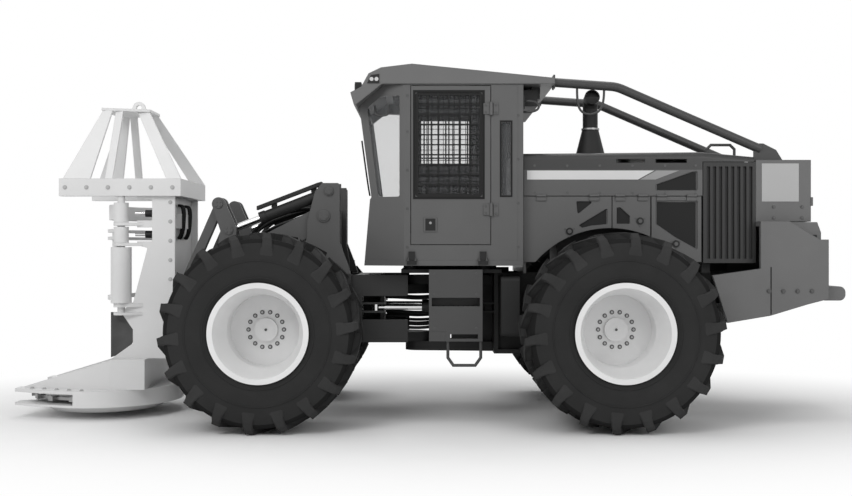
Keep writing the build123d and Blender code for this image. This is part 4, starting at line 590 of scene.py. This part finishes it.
# Hoses: over the articulation, up the tower, along the boom and to the head; rib of the front frame
# articulation hoses: y, z
PIVOT_HOSES = (
    (-0.24, 0.84), (-0.19, 0.89), (-0.15, 1.12), (-0.1, 0.94),
    (0.1, 0.98), (0.15, 0.88), (0.19, 1.12), (0.24, 0.84),
)
# tower and boom hoses meet at swivels on the boom's pivot axis: y, sag
BOOM_HOSES = ((-0.27, 0.0), (-0.195, 0.06), (-0.12, 0.12), (0.12, 0.09), (0.195, 0.03), (0.27, 0.0))
SWIVEL_HALF = 0.034
SWIVEL_PORT = 0.018
for i, (y, z) in enumerate(PIVOT_HOSES):
    hose(
        "pivot_hose_%d" % i, ("rear", "front", (-0.24, y, z), (0.38, y, z)), RUBBER,
        [
            (-0.24, y * 0.45, z), (-0.1, y * 0.8, z), (0.0, y, z - 0.01),
            (0.12, y, z - 0.015), (0.26, y, z), (0.39, y * 0.9, z),
        ],
        0.015,
    )
for i, (y, sag) in enumerate(BOOM_HOSES):
    near, far = y - SWIVEL_PORT, y + SWIVEL_PORT
    disc("front", BLACK, (BOOM_PIN_X, y - SWIVEL_HALF, BOOM_PIN_Z), LEFT, 0.028, 2 * SWIVEL_HALF, 20)
    hose(
        "tower_hose_%d" % i, "front", RUBBER,
        [
            (BOOM_PIN_X, near, BOOM_PIN_Z), (0.925, near, 1.95), (0.885, near, 1.9),
            (0.88, near, 1.7), (0.885, near, 1.5), (0.9, near, 1.342),
        ],
        0.015,
    )
    hose(
        "boom_hose_%d" % i, "boom", RUBBER,
        [
            (BOOM_PIN_X, far, BOOM_PIN_Z), (1.05, far, 1.97), (1.2, far, 1.97 - sag), (1.42, far, 1.9 - sag),
            (1.58, far, 1.83 - sag), (1.68, far, 1.7 - sag / 2), (1.71, far, 1.6), (1.7, far, 1.518),
        ],
        0.017,
    )
for i, y in enumerate((-0.09, -0.03, 0.03, 0.09)):
    hose(
        "arm_hose_%d" % i, "boom", RUBBER,
        [(1.68, y, 1.53), (1.78, y, 1.5), (1.92, y, 1.33), (2.02, y, 1.15), (2.06, y, 1.083)],
        0.014,
    )
slab("front", FRAME, (0.445, -0.02, 0.74), (0.615, 0.02, 1.3))

# Head: bolts on the deck, guard and walls, tips on the saw teeth, flap, arm cylinders and hoses
SAW_X, SAW_TOP = 3.1305, 0.221
TEETH, TOOTH_CIRCLE = 18, 0.69
FLAP_OUTLINE = [
    (2.96, 0.99), (2.96, 0.565), (2.86, 0.6), (2.78, 0.66), (2.74, 0.74), (2.74, 0.86), (2.83, 0.99),
]
for side in SIDES:
    outward = (0, side, 0)
    deck = [(3.16 + 0.13 * i, side * (0.69 - 0.045 * i), 0.28) for i in range(5)]
    guard = [(2.36 + 0.2 * i, side * 0.55, 2.157) for i in range(6)]
    wall = [(2.39, side * LEVER_FACE, 1.3 + 0.18 * i) for i in range(5)]
    bolts("head", PALE_BOLT, deck, UP, 0.014, 0.014)
    bolts("head", PALE_BOLT, guard, outward, 0.014, 0.01)
    bolts("head", PALE_BOLT, wall, outward, 0.013, 0.01)
for i in range(TEETH):
    a = 2 * pi * i / TEETH
    at = (SAW_X + TOOTH_CIRCLE * cos(a), TOOTH_CIRCLE * sin(a), SAW_TOP)
    disc("saw", STEEL, at, UP, 0.014, 0.006, 12)
panel("head", FLAP, FLAP_OUTLINE, 0.445, 1, 0.012)
for z in (1.918, 1.72):
    for side in SIDES:
        along = (1, side * 0.05, 0)
        disc("head", BLACK, (2.445, side * 0.4, z), along, 0.034, 0.2, 24)
        disc("head", CHROME, (2.6, side * 0.4075, z), along, 0.018, 0.14, 20)
slab("head", HEAD, (2.355, -0.2, 1.78), (2.41, 0.2, 1.92))
for i, y in enumerate((-0.17, -0.1, 0.1, 0.17)):
    hose(
        "head_hose_%d" % i, "head", RUBBER,
        [
            (2.395, y, 2.0), (2.36, y, 2.01), (2.345, y, 1.95),
            (2.35, y, 1.85), (2.36, y, 1.72), (2.395, y, 1.68),
        ],
        0.014,
    )

# Steps: grip teeth, tread face, skirt and bolts; sheet under the cab, cab brackets, bumper bolts
for x in [-0.48 + 0.045 * i for i in range(10)]:
    slab("rear", FRAME, (x, 0.625, 1.06), (x + 0.008, 0.72, 1.066))
slab("rear", LADDER, (-0.489, 0.615, 1.061), (-0.053, 0.62, 1.138))
slab("rear", LADDER, (-0.18, 0.736, 0.742), (-0.028, 0.759, 0.83))
step_bolts = [(x, CAB_WALL, z) for x in (-0.075, -0.46) for z in (1.36, 1.17, 0.86)]
bolts("rear", BOLT, step_bolts, LEFT, 0.009, 0.007)
slab("rear", RUBBER, (-0.69, -0.012, 1.396), (0.22, 0.012, 1.429))
for x in (0.13, -0.52):
    for side in SIDES:
        foot_y, post_y = side * 0.78, side * 0.77
        slab("rear", BLACK, (x - 0.045, foot_y - 0.019, 1.44), (x + 0.045, foot_y + 0.019, 1.475))
        slab("rear", BLACK, (x - 0.03, post_y - 0.01, 1.475), (x + 0.03, post_y + 0.01, 1.56))
        bolts("rear", BOLT, [(x + d, foot_y, 1.475) for d in (-0.035, 0.035)], UP, 0.01, 0.03)
for side in SIDES:
    row = [(-3.5 + 0.13 * i, side * BUMPER_WALL, 1.2) for i in range(4)]
    bolts("rear", BOLT, row, (0, side, 0), 0.015, 0.012)

for (body, paint), bm in gathered.items():
    name = "details_%s_%s" % (body, paint.replace(" ", "_"))
    ride_mesh(name, body, bpy.data.materials[paint], bm)


# Studio: pale floor that turns white away from the machine, soft lights, the photo's view
def seen_rays(tree):
    """1 for rays from the camera, from shiny surfaces and through glass, else 0."""
    rays = tree.nodes.new("ShaderNodeLightPath")
    seen = rays.outputs["Is Camera Ray"]
    for kind in ("Is Glossy Ray", "Is Transmission Ray"):
        either = tree.nodes.new("ShaderNodeMath")
        either.operation = "MAXIMUM"
        tree.links.new(seen, either.inputs[0])
        tree.links.new(rays.outputs[kind], either.inputs[1])
        seen = either.outputs["Value"]
    return seen


FLOOR_HALF = 60
FADE_START, FADE_END = 1.7, 4.2
FLOOR = material("floor", 246, 0.9, speck=0.01, shine=0.1)
tree = FLOOR.node_tree
place = next(n for n in tree.nodes if n.type == "TEX_COORD")
squash = tree.nodes.new("ShaderNodeMapping")
squash.inputs["Scale"].default_value = (0.6, 1, 1)
tree.links.new(place.outputs["Object"], squash.inputs["Vector"])
reach = tree.nodes.new("ShaderNodeVectorMath")
reach.operation = "LENGTH"
tree.links.new(squash.outputs["Vector"], reach.inputs[0])
fade = tree.nodes.new("ShaderNodeMapRange")
fade.interpolation_type = "SMOOTHSTEP"
fade.inputs["From Min"].default_value = FADE_START
fade.inputs["From Max"].default_value = FADE_END
tree.links.new(reach.outputs["Value"], fade.inputs["Value"])
shown = tree.nodes.new("ShaderNodeMath")
shown.operation = "MULTIPLY"
tree.links.new(fade.outputs["Result"], shown.inputs[0])
tree.links.new(seen_rays(tree), shown.inputs[1])
white = tree.nodes.new("ShaderNodeEmission")
white.inputs["Color"].default_value = (1, 1, 1, 1)
blend = tree.nodes.new("ShaderNodeMixShader")
tree.links.new(shown.outputs["Value"], blend.inputs[0])
tree.links.new(tree.nodes["Principled BSDF"].outputs["BSDF"], blend.inputs[1])
tree.links.new(white.outputs["Emission"], blend.inputs[2])
tree.links.new(blend.outputs["Shader"], tree.nodes["Material Output"].inputs["Surface"])
corners = [(x * FLOOR_HALF, y * FLOOR_HALF, 0) for x, y in ((-1, -1), (1, -1), (1, 1), (-1, 1))]
mesh = bpy.data.meshes.new("floor")
mesh.from_pydata(corners, [], [(0, 1, 2, 3)])
floor = bpy.data.objects.new("floor", mesh)
scene.collection.objects.link(floor)
set_material(floor, FLOOR)

WORLD_LIGHT, WORLD_SEEN = 0.42, 1.0
world = bpy.data.worlds.new("studio")
scene.world = world
world.use_nodes = True
tree = world.node_tree
sky = tree.nodes["Background"]
sky.inputs["Color"].default_value = (1, 1, 1, 1)
level = tree.nodes.new("ShaderNodeMapRange")
level.inputs["To Min"].default_value = WORLD_LIGHT
level.inputs["To Max"].default_value = WORLD_SEEN
tree.links.new(seen_rays(tree), level.inputs["Value"])
tree.links.new(level.outputs["Result"], sky.inputs["Strength"])


def light(name, at, target, width, power):
    """A square lamp that points at a target."""
    lamp = bpy.data.lights.new(name, "AREA")
    lamp.size = width
    lamp.energy = power
    obj = bpy.data.objects.new(name, lamp)
    scene.collection.objects.link(obj)
    obj.location = at
    obj.rotation_euler = (Vector(target) - Vector(at)).to_track_quat("-Z", "Y").to_euler()


light("key", (5, 9, 8), (0.5, 0, 1.3), 5, 450)
light("fill", (-6, 8, 5), (-1, 0, 1.3), 6, 190)
light("top", (0, -1, 9), (0, 0, 1), 7, 280)

camera = bpy.data.cameras.new("camera")
camera.lens = 45
camera.sensor_width = 36
eye = bpy.data.objects.new("camera", camera)
scene.collection.objects.link(eye)
eye.location = (0, 10.46, 1.592)
eye.rotation_euler = (radians(90), 0, radians(180))
scene.camera = eye
scene.view_settings.view_transform = "Standard"
